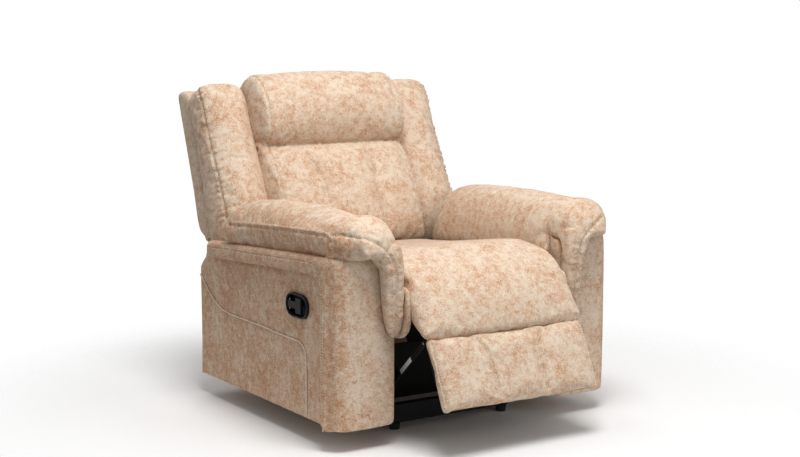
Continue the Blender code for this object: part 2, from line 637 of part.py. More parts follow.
def footrest_point(down, behind):
    """A point at a distance down the footrest's face and behind it."""
    top = Vector(FOOTREST_TOP)
    run = (Vector(FOOTREST_FOOT) - top).normalized()
    back = Vector((run[1], -run[0]))
    return tuple(top + run * down + back * behind)


def make_footrest():
    length = FOOTREST_LENGTH
    back = FOOTREST_PAD + FOOTREST_BOARD
    profile("footrest_pad",
            [footrest_point(SEAM_GAP, 0.002), footrest_point(0.06, -0.004), footrest_point(0.16, -0.004),
             footrest_point(length - 0.010, 0.0), footrest_point(length, 0.010),
             footrest_point(length - 0.004, FOOTREST_PAD), footrest_point(SEAM_GAP, FOOTREST_PAD)],
            -FOOTREST_HALF, FOOTREST_HALF, fabric())
    profile("footrest_board",
            [footrest_point(0.022, FOOTREST_PAD + TOUCH), footrest_point(length - 0.012, FOOTREST_PAD + TOUCH),
             footrest_point(length - 0.012, back), footrest_point(0.022, back)],
            -(BRACKET_X - TOUCH), BRACKET_X - TOUCH, plywood())
    for side, sign in SIDES:
        ear = arc(FOOTREST_AXIS, 2 * FOOTREST_HINGE_RADIUS, 115, 245, 6)
        bracket = profile("footrest_bracket_" + side,
                          ear + [footrest_point(0.040, back + 0.010), footrest_point(0.130, back + 0.010),
                                 footrest_point(0.130, FOOTREST_PAD + 0.001),
                                 footrest_point(0.012, FOOTREST_PAD + 0.001)],
                          sign * BRACKET_X, sign * (BRACKET_X + LINK_WALL), black_steel())
        drill(bracket, FOOTREST_AXIS, FOOTREST_HINGE_RADIUS + RUN, sign * (BRACKET_X - 0.01),
              sign * (BRACKET_X + LINK_WALL + 0.001))


# ---------------------------------------------------------------- back
def back_slab(name, low, high, ahead, wall, x_from, x_to, finish):
    """A slab parallel to the outer back panel, between two heights."""
    return profile(name, [(back_line(low, ahead), low), (back_line(high, ahead), high),
                          (back_line(high, ahead + wall), high), (back_line(low, ahead + wall), low)],
                   x_from, x_to, finish)


def make_back():
    corner = BACK_CORNER
    outline = [(-BACK_TAIL_HALF, BACK_TAIL), (BACK_TAIL_HALF, BACK_TAIL), (BACK_TAIL_HALF, BACK_WIDE_FROM),
               (BACK_HALF, BACK_WIDE_FROM), (BACK_HALF, BACK_TOP - corner), (BACK_HALF - corner, BACK_TOP),
               (corner - BACK_HALF, BACK_TOP), (-BACK_HALF, BACK_TOP - corner), (-BACK_HALF, BACK_WIDE_FROM),
               (-BACK_TAIL_HALF, BACK_WIDE_FROM)]
    loop = [side_point(x, back_line(z), z) for x, z in outline]
    extruded("back_panel", loop, Vector((0, -BACK_PANEL_WALL, 0)), fabric())

    ahead = BACK_PANEL_WALL + 0.003
    post_outer = BACK_BRACKET_X - TOUCH
    for side, sign in SIDES:
        back_slab("back_post_" + side, BACK_AXIS[1] - 0.030, BACK_TOP - 0.025, ahead, POST_WIDTH,
                  sign * (post_outer - POST_WIDTH), sign * post_outer, plywood())
        make_back_bracket(side, sign)
        make_wing(side, sign)
    span = post_outer - POST_WIDTH - TOUCH
    back_slab("back_rail_bottom", BACK_AXIS[1], BACK_AXIS[1] + 0.040, ahead, POST_WIDTH, -span, span,
              plywood())
    back_slab("back_rail_top", BACK_TOP - 0.075, BACK_TOP - 0.035, ahead, POST_WIDTH, -span, span,
              plywood())

    rear = ahead + POST_WIDTH + 0.002
    bottom = SEAT_TOP_REAR + 0.012
    top = HEAD_SEAM - HEAD_SEAM_GAP
    front = [back_point(bottom + share * (HEAD_SEAM - bottom), depth) for share, depth in LUMBAR_FRONT]
    profile("lumbar_cushion",
            [(SEAT_REAR - 0.006, bottom)] + front
            + [back_point(HEAD_SEAM - 0.018, HEAD_SEAM_AHEAD + 0.0186), back_point(top, HEAD_SEAM_AHEAD - 0.004),
               back_point(top, rear), back_point(bottom, rear)],
            -CUSHION_HALF, CUSHION_HALF, fabric())
    profile("headrest_cushion",
            [back_point(HEAD_SEAM + HEAD_SEAM_GAP, HEAD_SEAM_AHEAD - 0.004),
             back_point(HEAD_SEAM + 0.020, HEAD_SEAM_AHEAD + 0.0251)]
            + [back_point(BACK_TOP + rise, depth) for rise, depth in HEADREST_FRONT]
            + [back_point(BACK_TOP - 0.020, rear), back_point(HEAD_SEAM + HEAD_SEAM_GAP, rear)],
            -CUSHION_HALF, CUSHION_HALF, fabric())


def make_back_bracket(side, sign):
    """The steel bracket between the back post and its hinge pin."""
    inner = sign * BACK_BRACKET_X
    outer = sign * (BACK_BRACKET_X + BACK_BRACKET_WALL)
    level = BACK_AXIS[1]
    bracket = profile("back_bracket_" + side,
                      [back_point(level, 0.020), back_point(level - 0.020, 0.045)]
                      + arc(BACK_AXIS, 0.018, -100, 80, 8)
                      + [back_point(level + 0.100, 0.045), back_point(level + 0.160, 0.045),
                         back_point(level + 0.160, 0.020)],
                      inner, outer, black_steel())
    drill(bracket, BACK_AXIS, BACK_PIN_RADIUS + RUN, inner - sign * 0.003, outer + sign * 0.01)
    rod("back_hinge_pin_" + side, BACK_AXIS, BACK_PIN_RADIUS, sign * SIDE_PLATE_X,
        outer + sign * 0.002, bright_steel())


def make_wing(side, sign):
    """The side cushion of the back."""
    climb = BACK_TOP - WING_SHOULDER_DROP - WING_FOOT
    front = [back_point(WING_FOOT + share * climb, depth) for share, depth in WING_FRONT]
    crown = [back_point(BACK_TOP + rise, depth) for rise, depth in WING_CROWN]
    profile("wing_" + side,
            [back_point(WING_FOOT - 0.040, 0.0164), back_point(WING_FOOT - 0.050, 0.1984)] + front + crown
            + [back_point(BACK_TOP - 0.015, 0.0236)],
            sign * WING_INNER, sign * WING_OUTER, fabric(), 0.020)


def main():
    for old in list(bpy.data.objects):
        bpy.data.objects.remove(old)
    make_base()
    arms = {side: make_arm(side, sign) for side, sign in SIDES}
    make_lever(*arms["right"])
    make_seat()
    make_links()
    make_footrest()
    make_back()


main()
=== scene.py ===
# %% [markdown]
# # A recliner armchair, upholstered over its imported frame
# The frame holds the steel, the timber and a plain solid for each cushion. This file dresses it:
# stuffed pads that swell between their seams, sewn panels, thread, piping and finishes.

# %% Load the frame
import json
import math

import bmesh
import bpy
import numpy as np
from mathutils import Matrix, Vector, noise
from mathutils.bvhtree import BVHTree


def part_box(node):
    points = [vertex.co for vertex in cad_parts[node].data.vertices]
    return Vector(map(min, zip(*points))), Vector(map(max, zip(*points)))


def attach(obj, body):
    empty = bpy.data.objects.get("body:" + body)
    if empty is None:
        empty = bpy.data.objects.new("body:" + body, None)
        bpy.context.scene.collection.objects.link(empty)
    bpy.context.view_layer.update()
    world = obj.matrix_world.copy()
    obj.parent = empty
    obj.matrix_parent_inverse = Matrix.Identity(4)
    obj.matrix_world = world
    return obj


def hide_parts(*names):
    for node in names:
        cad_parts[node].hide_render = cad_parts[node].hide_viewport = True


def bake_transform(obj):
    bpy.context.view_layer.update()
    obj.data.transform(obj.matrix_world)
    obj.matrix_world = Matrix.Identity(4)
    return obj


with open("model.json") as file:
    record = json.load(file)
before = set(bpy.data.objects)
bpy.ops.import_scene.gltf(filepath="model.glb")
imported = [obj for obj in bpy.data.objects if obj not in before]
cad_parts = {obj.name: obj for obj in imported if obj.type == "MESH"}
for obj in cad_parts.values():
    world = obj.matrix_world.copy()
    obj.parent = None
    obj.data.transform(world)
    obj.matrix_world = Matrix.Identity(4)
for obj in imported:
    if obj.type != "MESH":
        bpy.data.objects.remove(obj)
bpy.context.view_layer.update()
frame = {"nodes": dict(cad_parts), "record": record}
joints = {j["name"]: j for j in frame["record"]["behaviour"]["joints"]}
SIDES = (("right", -1), ("left", 1))

# %% [markdown]
# The camera looks at the chair from its right front, a little above the arms, through a long lens.
# A chair is easier to shape when every trial picture is taken from the same place, so it comes first.

# %% Camera
CAMERA_PLACE = (-2.532, -3.966, 1.193)
CAMERA_TURN = -32.79           # degrees about Z
CAMERA_DROP = 7.88             # degrees below the horizon
camera_data = bpy.data.cameras.new("camera")
camera_data.lens = 68.6
camera_data.sensor_width = 36.0
camera = bpy.data.objects.new("camera", camera_data)
camera.location = CAMERA_PLACE
camera.rotation_euler = (math.radians(90 - CAMERA_DROP), 0, math.radians(CAMERA_TURN))
bpy.context.collection.objects.link(camera)
bpy.context.scene.camera = camera
print("camera lens", camera_data.lens)

# %% [markdown]
# A studio has one large soft light that gives the form and weaker ones that open the shadows.
# The key hangs high in front of the chair, so tops and crowns are bright and the side panel with
# the lever falls into gentle shade. The room is pure white to look at but lights the chair less.

# %% Lights and floor
def area_light(name, place, target, size, power):
    """A square lamp of this size in metres and power in watts, turned to its target."""
    light = bpy.data.lights.new(name, "AREA")
    light.size = size
    light.energy = power
    lamp = bpy.data.objects.new(name, light)
    lamp.location = place
    lamp.rotation_euler = (Vector(target) - Vector(place)).to_track_quat("-Z", "Y").to_euler()
    bpy.context.collection.objects.link(lamp)


area_light("key", (-0.5, -1.35, 3.6), (0, -0.05, 0.4), 1.5, 94)
area_light("front", (1.6, -3.8, 1.7), (0, 0, 0.5), 1.8, 30)
area_light("rim", (0.5, 2.4, 2.6), (0, 0, 0.8), 1.6, 14)

ROOM_LIGHT = 0.50              # how strongly the white room lights the chair
world = bpy.data.worlds.new("white_room")
world.use_nodes = True
sky = world.node_tree.nodes["Background"]
seen = world.node_tree.nodes.new("ShaderNodeLightPath")
level = world.node_tree.nodes.new("ShaderNodeMapRange")
level.inputs["To Min"].default_value = ROOM_LIGHT
level.inputs["To Max"].default_value = 1.0
world.node_tree.links.new(seen.outputs["Is Camera Ray"], level.inputs["Value"])
world.node_tree.links.new(level.outputs["Result"], sky.inputs["Strength"])
sky.inputs["Color"].default_value = (1.0, 1.0, 1.0, 1.0)
bpy.context.scene.world = world
bpy.context.scene.view_settings.view_transform = "Standard"
bpy.context.scene.view_settings.gamma = 0.80   # a little more contrast, as a printed catalogue has

FLOOR_REACH = 1.7              # the floor fades into the white room before this distance
floor_mesh = bpy.data.meshes.new("floor")
floor_mesh.from_pydata([(x * FLOOR_REACH, y * FLOOR_REACH, 0)
                        for x, y in ((-1, -1), (1, -1), (1, 1), (-1, 1))], [], [(0, 1, 2, 3)])
floor = bpy.data.objects.new("floor", floor_mesh)
bpy.context.collection.objects.link(floor)
print("lights and floor are in place")

# %% [markdown]
# ## Writing a finish as arithmetic
# A material is a small program. Wrapping a node's socket in a class that understands +, - and *
# lets the program read like the sum it is, instead of a page of node wiring.

# %% A socket that can be added and multiplied
class Wire:
    """A socket of a material, with arithmetic. Numbers use Math nodes, colours use Mix nodes."""

    def __init__(self, tree, socket):
        self.tree = tree
        self.socket = socket

    def node(self, kind, settings=None, inputs=None, output=0):
        made = self.tree.nodes.new(kind)
        for key, value in (settings or {}).items():
            setattr(made, key, value)
        for key, value in (inputs or {}).items():
            if isinstance(value, Wire):
                self.tree.links.new(value.socket, made.inputs[key])
            else:
                made.inputs[key].default_value = value
        return Wire(self.tree, made.outputs[output])

    def math(self, operation, *values):
        return self.node("ShaderNodeMath", {"operation": operation}, dict(enumerate(values)))

    def vector(self, operation, others, output=0):
        return self.node("ShaderNodeVectorMath", {"operation": operation}, {0: self, **others}, output)

    def __add__(self, other):
        return self.math("ADD", self, other)

    __radd__ = __add__

    def __mul__(self, other):
        return self.math("MULTIPLY", self, other)

    __rmul__ = __mul__

    def __sub__(self, other):
        return self.math("SUBTRACT", self, other)

    def __rsub__(self, other):
        return self.math("SUBTRACT", other, self)

    def step(self, low, high):
        """0 below low, 1 above high and smooth between."""
        return self.node("ShaderNodeMapRange", {"interpolation_type": "SMOOTHSTEP"},
                         {"Value": self, "From Min": low, "From Max": high})

    def blend(self, first, second):
        """A colour between two, where this wire is the share of the second."""
        first = first if isinstance(first, Wire) else (*first, 1.0)
        second = second if isinstance(second, Wire) else (*second, 1.0)
        return self.node("ShaderNodeMix", {"data_type": "RGBA"}, {0: self, 6: first, 7: second}, 2)

    def shifted(self, other, amount):
        """This position, moved by a colour of noise."""
        swing = other.vector("SUBTRACT", {1: (0.5, 0.5, 0.5)}).vector("SCALE", {3: amount})
        return self.vector("ADD", {1: swing})

    def sideways(self):
        """How far this position is from the chair's middle plane."""
        across = self.node("ShaderNodeSeparateXYZ", {}, {0: self}, 0)
        return across.math("ABSOLUTE", across)

    def noise(self, scale, detail=2.0, rough=0.5, distortion=0.0, output=0):
        return self.node("ShaderNodeTexNoise", {}, {"Vector": self, "Scale": scale, "Detail": detail,
                         "Roughness": rough, "Distortion": distortion}, output)


def new_finish(name):
    """A material, its Principled shader and the position on the piece at rest."""
    made = bpy.data.materials.new(name)
    made.use_nodes = True
    tree = made.node_tree
    shader = tree.nodes["Principled BSDF"]
    place = Wire(tree, tree.nodes.new("ShaderNodeTexCoord").outputs["Object"])
    return made, shader, place


def feed(shader, socket, wire):
    """Join a wire to one of the shader's sockets."""
    wire.tree.links.new(wire.socket, shader.inputs[socket])


def hold(shader, **constants):
    """Constants on the shader's own sockets."""
    for name, value in constants.items():
        shader.inputs[name.replace("_", " ")].default_value = value


def feed_bump(shader, height, strength, distance):
    feed(shader, "Normal", height.node("ShaderNodeBump", {}, {"Height": height, "Strength": strength,
                                                            "Distance": distance}))


print("the socket class is ready")

# %% [markdown]
# The cover is a brushed microfibre that imitates distressed suede. It is printed in three steps:
# soft tan clouds a few centimetres wide on cream, hair-fine worm-like streaks that tear the clouds'
# edges, and thin pale hairs over both. Noise that is pushed about by other noise draws them all.
# The outsides of the arms are painted darker, more tan, as painted shade where the key light only grazes
# them.
# The nap catches light at a grazing angle, which the shader's sheen does.

# %% Suede fabric
CREAM = (0.675, 0.575, 0.470)
TAN = (0.530, 0.320, 0.190)
TERRACOTTA = (0.410, 0.200, 0.100)
PALE = (0.770, 0.705, 0.620)


def suede(name, lift=0.0):
    """The cover's finish; lift moves it towards the pale colour, a painted highlight as on a welt's bead.
    """
    made, shader, place = new_finish(name)
    swirl = place.noise(85.0, 2.0, 0.55, output=1)
    bent = place.shifted(swirl, 0.012)
    fine_swirl = place.noise(240.0, 2.0, 0.5, output=1)
    curled = bent.shifted(fine_swirl, 0.006)
    streak = curled.noise(250.0, 2.0, 0.62, 0.8)
    cloud = bent.noise(52.0, 2.0, 0.55, 0.3)
    wide = place.noise(12.0, 2.0, 0.5)
    fleck = place.noise(760.0, 2.0, 0.7)
    # painted shade: cover far from the middle plane, on the arms' outer sides, is pushed towards tan and
    # terracotta
    painted_side_shade = place.sideways().step(0.43, 0.47)
    density = (cloud * 0.75 + (wide - 0.33) * 0.42 + (streak - 0.5) * 0.95 + (fleck - 0.5) * 0.30
               + painted_side_shade * 0.13)
    warm = density.step(0.24, 0.74)
    deep = (density + (fleck - 0.5) * 0.5).step(0.50, 0.88)
    hair = curled.noise(165.0, 2.0, 0.5, 0.6) - 0.5
    pale = 1.0 - hair.math("ABSOLUTE", hair).step(0.0, 0.055)
    color = warm.blend(CREAM, TAN)
    color = (deep * 0.50).blend(color, TERRACOTTA)
    # painted highlight: lift whitens the whole piece towards the pale colour
    color = (pale * 0.52 + lift).blend(color, PALE)
    feed(shader, "Base Color", color)
    feed(shader, "Roughness", 0.90 - fleck * 0.14)
    grain = fleck * 0.30 + streak * 0.45 + place.noise(45.0, 2.0, 0.5) * 0.6
    feed_bump(shader, grain, 0.30, 0.0016)
    hold(shader, Sheen_Weight=0.18, Sheen_Roughness=0.45, Sheen_Tint=(1.0, 0.92, 0.83, 1.0),
         Specular_IOR_Level=0.22)
    return made


SUEDE = suede("suede_cover")
print("suede made of", len(SUEDE.node_tree.nodes), "nodes")

# %% [markdown]
# The other finishes are quieter. Each has one thing that keeps it from looking like plain paint:
# the thread has a twist, the steel a powder coat with a fine orange peel and worn patches, the
# plastic a moulded grain, the plywood its growth lines.

# %% Small finishes
def mottled(name, grain, colors, rough, swing, tone=None, step=None, wear=0.0, bump=None, **constants):
    """A finish with a fine grain. The colour follows the grain, or a second noise if tone gives one."""
    made, shader, place = new_finish(name)
    fine = place.noise(*grain)
    patch = place.noise(*tone) if tone else fine
    shade = patch.step(*step) if step else patch
    feed(shader, "Base Color", shade.blend(*colors))
    feed(shader, "Roughness", rough + fine * swing + shade * wear if wear else rough + fine * swing)
    if bump:
        feed_bump(shader, fine, *bump)
    hold(shader, **constants)
    return made


def moulded_black(name, low, high):
    return mottled(name, (1100.0, 3.0, 0.65), ((0.016, 0.016, 0.016), (0.030, 0.029, 0.027)),
                   low, high - low, tone=(30.0, 3.0, 0.5), bump=(0.12, 0.0004))


def plywood():
    made, shader, place = new_finish("raw_plywood")
    rings = place.vector("MULTIPLY", {1: (3.0, 3.0, 34.0)}).noise(2.2, 5.0, 0.6, 1.4)
    pores = place.noise(300.0, 2.0, 0.7)
    color = rings.step(0.35, 0.65).blend((0.60, 0.43, 0.26), (0.42, 0.27, 0.14))
    feed(shader, "Base Color", (pores * 0.25).blend(color, (0.25, 0.15, 0.08)))
    feed(shader, "Roughness", 0.62 + pores * 0.2)
    feed_bump(shader, rings + pores * 0.5, 0.2, 0.0008)
    return made


def floor_finish():
    """White floor that carries the chair's soft shadow and fades out all round."""
    made, shader, place = new_finish("pale_floor")
    tone = place.noise(3.0, 2.0)
    away = place.vector("LENGTH", {}, 1)
    feed(shader, "Base Color", tone.blend((0.88, 0.88, 0.88), (0.86, 0.86, 0.86)))
    feed(shader, "Roughness", 0.7 + tone * 0.1)
    feed(shader, "Alpha", 1.0 - away.step(0.60, FLOOR_REACH * 0.94))
    return made


THREAD = mottled("sewing_thread", (1400.0, 1.0), ((0.88, 0.80, 0.67), (0.74, 0.64, 0.50)), 0.55, 0.2,
                 Sheen_Weight=0.15)
STEEL = mottled("black_powder_coat", (420.0, 3.0, 0.6), ((0.012, 0.012, 0.013), (0.030, 0.030, 0.031)),
                0.34, 0.18, tone=(9.0, 4.0, 0.6), step=(0.45, 0.75), wear=0.12, bump=(0.15, 0.0006),
                Metallic=0.35)
ZINC = mottled("zinc_plate", (260.0, 3.0, 0.6, 0.4), ((0.62, 0.62, 0.63), (0.42, 0.42, 0.44)), 0.24, 0.22,
               Metallic=1.0)
LINING = mottled("black_lining", (700.0, 2.0, 0.7, 1.0), ((0.010, 0.010, 0.010), (0.035, 0.035, 0.036)),
                 0.80, 0.15, bump=(0.3, 0.0008))
PAPER = mottled("blank_sticker", (160.0, 4.0, 0.6), ((0.72, 0.72, 0.74), (0.50, 0.50, 0.53)), 0.45, 0.2,
                step=(0.35, 0.75))
PLASTIC, RUBBER = moulded_black("moulded_plastic", 0.30, 0.48), moulded_black("foot_rubber", 0.6, 0.8)
PLY = plywood()
floor.data.materials.append(floor_finish())

finish_of = {"black_steel": STEEL, "bright_steel": ZINC, "black_plastic": PLASTIC,
             "foot_rubber": RUBBER, "plywood": PLY, "suede_fabric": SUEDE}
slots = {part["node"]: part["material_slot"] for part in frame["record"]["subparts"]}
for node, piece in frame["nodes"].items():
    for place in piece.material_slots:
        place.material = finish_of[slots[node]]
    if not piece.material_slots:
        piece.data.materials.append(finish_of[slots[node]])
print("finishes given to", len(frame["nodes"]), "frame nodes")

# %% [markdown]
# ## Shaping tools
# Side shapes are drawn as (forward, height) outlines: forward grows from the seat to the feet. The
# chaise pad's hinge ties the drawing to the frame. A cushion starts as a few listed points on
# a smooth closed curve, gets its width with rounded edges, and is then remeshed evenly, since even
# mesh is what cloth needs to swell well.

# %% Places and curves
NOSE_FORWARD = 0.500
ORIGIN = joints["chaise_fold"]["pos_m"][1] + NOSE_FORWARD


def at(x, forward, height):
    return Vector((x, ORIGIN - forward, height))


def mm(*points):
    """Points written in millimetres, as metres."""
    return [tuple(value / 1000 for value in point) for point in points]


def all_at(sign, points):
    """A path through (x, forward, height) points, on the right (-1) or left (1) of the chair."""
    return [at(sign * x, forward, height) for x, forward, height in points]


def smooth_curve(points, spacing, closed=False):
    """Evenly spaced points on a smooth curve through the given ones."""
    given = np.array(points, float)
    count = len(given)
    pieces = []
    for i in range(count if closed else count - 1):
        if closed:
            a, b, c, d = (given[(i + k) % count] for k in (-1, 0, 1, 2))
        else:
            b, c = given[i], given[i + 1]
            a = given[i - 1] if i else 2 * b - c
            d = given[i + 2] if i + 2 < count else 2 * c - b
        t = np.linspace(0, 1, 24, endpoint=False)[:, None]
        pieces.append(0.5 * (2 * b + (c - a) * t + (2 * a - 5 * b + 4 * c - d) * t ** 2
                             + (3 * b - a - 3 * c + d) * t ** 3))
    dense = np.concatenate(pieces + [given[:1] if closed else given[-1:]])
    along = np.concatenate([[0], np.cumsum(np.linalg.norm(np.diff(dense, axis=0), axis=1))])
    steps = max(8, int(round(along[-1] / spacing)))
    wanted = np.linspace(0, along[-1], steps + 1)
    even = np.stack([np.interp(wanted, along, dense[:, k]) for k in range(given.shape[1])], axis=1)
    return even[:-1] if closed else even


INSET_STEP = 0.002


def inset(loop, distance):
    """A closed loop drawn in by a distance, in small smoothed steps so that it never crosses itself."""
    area = np.sum(loop[:, 0] * np.roll(loop[:, 1], -1) - np.roll(loop[:, 0], -1) * loop[:, 1])
    steps = max(1, int(round(abs(distance) / INSET_STEP)))
    for _ in range(steps):
        ahead = np.roll(loop, -1, 0) - np.roll(loop, 1, 0)
        inward = np.stack([-ahead[:, 1], ahead[:, 0]], axis=1) * np.sign(area)
        loop = loop + inward / np.linalg.norm(inward, axis=1)[:, None] * (distance / steps)
        if distance > 0:
            loop = 0.8 * loop + 0.1 * (np.roll(loop, 1, 0) + np.roll(loop, -1, 0))
    return loop


def new_piece(name, verts, faces, finish):
    """An object with a closed skin whose faces point out."""
    mesh = bpy.data.meshes.new(name)
    mesh.from_pydata(verts, [], faces)
    shape = bmesh.new()
    shape.from_mesh(mesh)
    bmesh.ops.recalc_face_normals(shape, faces=shape.faces)
    shape.to_mesh(mesh)
    shape.free()
    piece = bpy.data.objects.new(name, mesh)
    bpy.context.collection.objects.link(piece)
    mesh.materials.append(finish)
    return piece


def smooth(piece, largest=99):
    """Shade the faces smooth that have no more corners than the largest."""
    for face in piece.data.polygons:
        face.use_smooth = len(face.vertices) <= largest
    return piece


def loft(name, sections, finish=SUEDE):
    """A closed skin over a row of loops that have the same number of points."""
    count = len(sections[0])
    verts = [tuple(p) for section in sections for p in section]
    faces = []
    for i in range(len(sections) - 1):
        for j in range(count):
            k = (j + 1) % count
            faces.append((i * count + j, i * count + k, (i + 1) * count + k, (i + 1) * count + j))
    faces.append(tuple(range(count)))
    faces.append(tuple((len(sections) - 1) * count + j for j in range(count)))
    return new_piece(name, verts, faces, finish)


def wide_profile(name, outline, low, high, edge, crown=0.0, place=at, spacing=0.008, finish=SUEDE):
    """A side outline made into a solid from low to high, with rounded edges and a crowned middle."""
    loop = smooth_curve(outline, spacing, closed=True)
    rows = []
    turns = [math.radians(a) for a in (90, 65, 42, 20, 0)]
    for turn in turns:
        rows.append((low + edge * (1 - math.sin(turn)), edge * (1 - math.cos(turn))))
    middle = np.linspace(low + edge, high - edge, 9)[1:-1]
    half = (high - low) / 2
    for x in middle:
        share = (x - (low + high) / 2) / half
        rows.append((x, -crown * (1 - share ** 2)))
    for turn in reversed(turns):
        rows.append((high - edge * (1 - math.sin(turn)), edge * (1 - math.cos(turn))))
    sections = []
    for x, depth in rows:
        drawn = inset(loop, depth) if abs(depth) > 1e-6 else loop
        sections.append([place(x, p[0], p[1]) for p in drawn])
    return loft(name, sections, finish)


def applied(piece):
    """Bake a piece's modifiers into its mesh."""
    graph = bpy.context.evaluated_depsgraph_get()
    mesh = bpy.data.meshes.new_from_object(piece.evaluated_get(graph))
    mesh.name = piece.name
    piece.modifiers.clear()
    piece.data = mesh
    return piece


def even_skin(piece, voxel, relax=8):
    """Remesh a piece into even quads and take the steps out. Parts that cross become one."""
    step = piece.modifiers.new("remesh", "REMESH")
    step.mode = "VOXEL"
    step.voxel_size = voxel
    calm = piece.modifiers.new("relax", "SMOOTH")
    calm.factor = 0.5
    calm.iterations = relax
    materials = list(piece.data.materials)
    applied(piece)
    piece.data.materials.clear()
    for material in materials:
        piece.data.materials.append(material)
    return smooth(piece)


def joined(first, *others):
    """Several overlapping shapes in one mesh, for the remesh to weld."""
    shape = bmesh.new()
    for piece in (first, *others):
        shape.from_mesh(piece.data)
    shape.to_mesh(first.data)
    shape.free()
    for piece in others:
        bpy.data.objects.remove(piece)
    return first


def points_of(mesh):
    flat = np.empty(len(mesh.vertices) * 3)
    mesh.vertices.foreach_get("co", flat)
    return flat.reshape(-1, 3)


def set_points(mesh, points):
    mesh.vertices.foreach_set("co", points.ravel())
    mesh.update()


print("drawing origin at y =", round(ORIGIN, 4))

# %% [markdown]
# ## Swelling, sewing and thread
# A seam holds the cover down while the filling pushes it up on both sides. So each pad is swollen
# with cloth simulation while the points along its seams are pinned, which is where the puckers of
# real upholstery come from. All pads swell in one run of the clock, which is the cheap way.

# %% Swell the pads
swelling = []


TRACE_STEP = 0.004             # spacing of the points along a traced seam


def surface(piece):
    return BVHTree.FromPolygons([v.co for v in piece.data.vertices],
                                [tuple(f.vertices) for f in piece.data.polygons])


def trace(piece, path, spacing=TRACE_STEP):
    """A path laid on the surface of a piece: places, normals and directions."""
    tree = surface(piece)
    even = smooth_curve([tuple(p) for p in path], spacing)
    found = [tree.find_nearest(Vector(p)) for p in even]
    places = np.array([tuple(f[0]) for f in found])
    normals = np.array([tuple(f[1]) for f in found])
    ahead = np.gradient(places, axis=0)
    ahead /= np.linalg.norm(ahead, axis=1)[:, None] + 1e-9
    return places, normals, ahead


BLOCK = 4000                   # points measured at a time, to save memory


def nearest(points, places, reach):
    """For points near a path: which ones, how far, and the path's nearest index."""
    low, high = places.min(0) - reach, places.max(0) + reach
    close = np.nonzero(((points > low) & (points < high)).all(1))[0]
    gaps = np.empty(len(close))
    index = np.empty(len(close), int)
    for start in range(0, len(close), BLOCK):
        block = slice(start, start + BLOCK)
        away = np.linalg.norm(points[close[block]][:, None, :] - places[None, :, :], axis=2)
        index[block] = away.argmin(1)
        gaps[block] = away.min(1)
    near = gaps < reach
    return close[near], gaps[near], index[near]


def pin(piece, seams, reach):
    """Hold the points near the seams, most where they are nearest."""
    group = piece.vertex_groups.new(name="seams")
    points = points_of(piece.data)
    for path in seams:
        places, _, _ = trace(piece, path)
        who, gaps, _ = nearest(points, places, reach)
        for vertex, gap in zip(who, gaps):
            group.add([int(vertex)], max(0.0, 1 - (gap / reach) ** 2), "REPLACE")


SWELL_FRAMES = 20
COVER_CLOTH = {"quality": 4, "mass": 0.25, "use_pressure": True, "uniform_pressure_force": 4.0,
               "tension_stiffness": 12, "compression_stiffness": 12, "shear_stiffness": 8,
               "bending_stiffness": 0.6, "air_damping": 3.0, "shrink_min": -0.02,
               "vertex_group_mass": "seams", "pin_stiffness": 1.0}


def will_swell(piece, seams, cap, voxel=0.008, relax=4):
    """Get a pad ready for the simulation. No point of it may move further than the cap."""
    even_skin(piece, voxel, relax)
    pin(piece, seams, voxel * 1.1)
    swelling.append((piece, cap, points_of(piece.data)))
    cloth = piece.modifiers.new("swell", "CLOTH")
    for key, value in COVER_CLOTH.items():
        setattr(cloth.settings, key, value)
    cloth.settings.effector_weights.gravity = 0
    cloth.collision_settings.use_collision = False
    cloth.point_cache.frame_end = SWELL_FRAMES
    print(piece.name, "has", len(piece.data.vertices), "points before swelling")


def swell_all():
    """Run the clock once for every waiting pad, cap the movement and refine the mesh."""
    scene = bpy.context.scene
    for number in range(1, SWELL_FRAMES + 1):
        scene.frame_set(number)
    for piece, cap, before in swelling:
        moved = points_of(applied(piece).data) - before
        length = np.linalg.norm(moved, axis=1)[:, None]
        set_points(piece.data, before + moved * np.minimum(1.0, cap / np.maximum(length, 1e-9)))
        print(piece.name, "swelled", round(float(length.max()) * 1000, 1), "mm, capped at", cap * 1000)
        finer = piece.modifiers.new("finer", "SUBSURF")
        finer.levels = finer.render_levels = 1
        applied(piece)
        piece.vertex_groups.clear()
        smooth(piece)
    scene.frame_set(1)


print("the clock will run for", SWELL_FRAMES, "frames")


# %% [markdown]
# Sewing pulls a narrow valley along the seam, and the gathered cloth beside it makes short ridges
# that run away from the thread and fade out. Noise along the seam sets where each ridge falls.

# %% Sew a seam
SEAM_REACH, END_FADE = 0.045, 0.012


def sew(piece, path, valley, ridge=0.0, fade=0.016, pitch=0.012, seed=0.0, width=0.0045):
    """Press a seam into a piece and gather the cloth beside it. A negative valley raises a bead."""
    places, normals, ahead = trace(piece, path)
    points = points_of(piece.data)
    who, gaps, index = nearest(points, places, SEAM_REACH)
    sideways = np.cross(ahead, normals)
    side = np.sign(np.einsum("ij,ij->i", points[who] - places[index], sideways[index]))
    ridges = np.array([[noise.noise(Vector((i * TRACE_STEP / pitch, s * 7.3 + seed, seed)))
                        for i in range(len(places))] for s in (-1, 1)])
    wave = ridges[np.where(side > 0, 1, 0), index]
    move = -valley * np.exp(-(gaps / width) ** 2)
    move += ridge * wave * np.exp(-gaps / fade) * (1 - np.exp(-(gaps / 0.006) ** 2)) * 2.2
    ends = np.minimum(index, len(places) - 1 - index) * TRACE_STEP
    move *= np.clip(ends / END_FADE, 0, 1)
    points[who] += normals[index] * move[:, None]
    set_points(piece.data, points)


stitch_lines = {}
STITCH, STITCH_GAP, THREAD_RADIUS = 0.0056, 0.0024, 0.00085


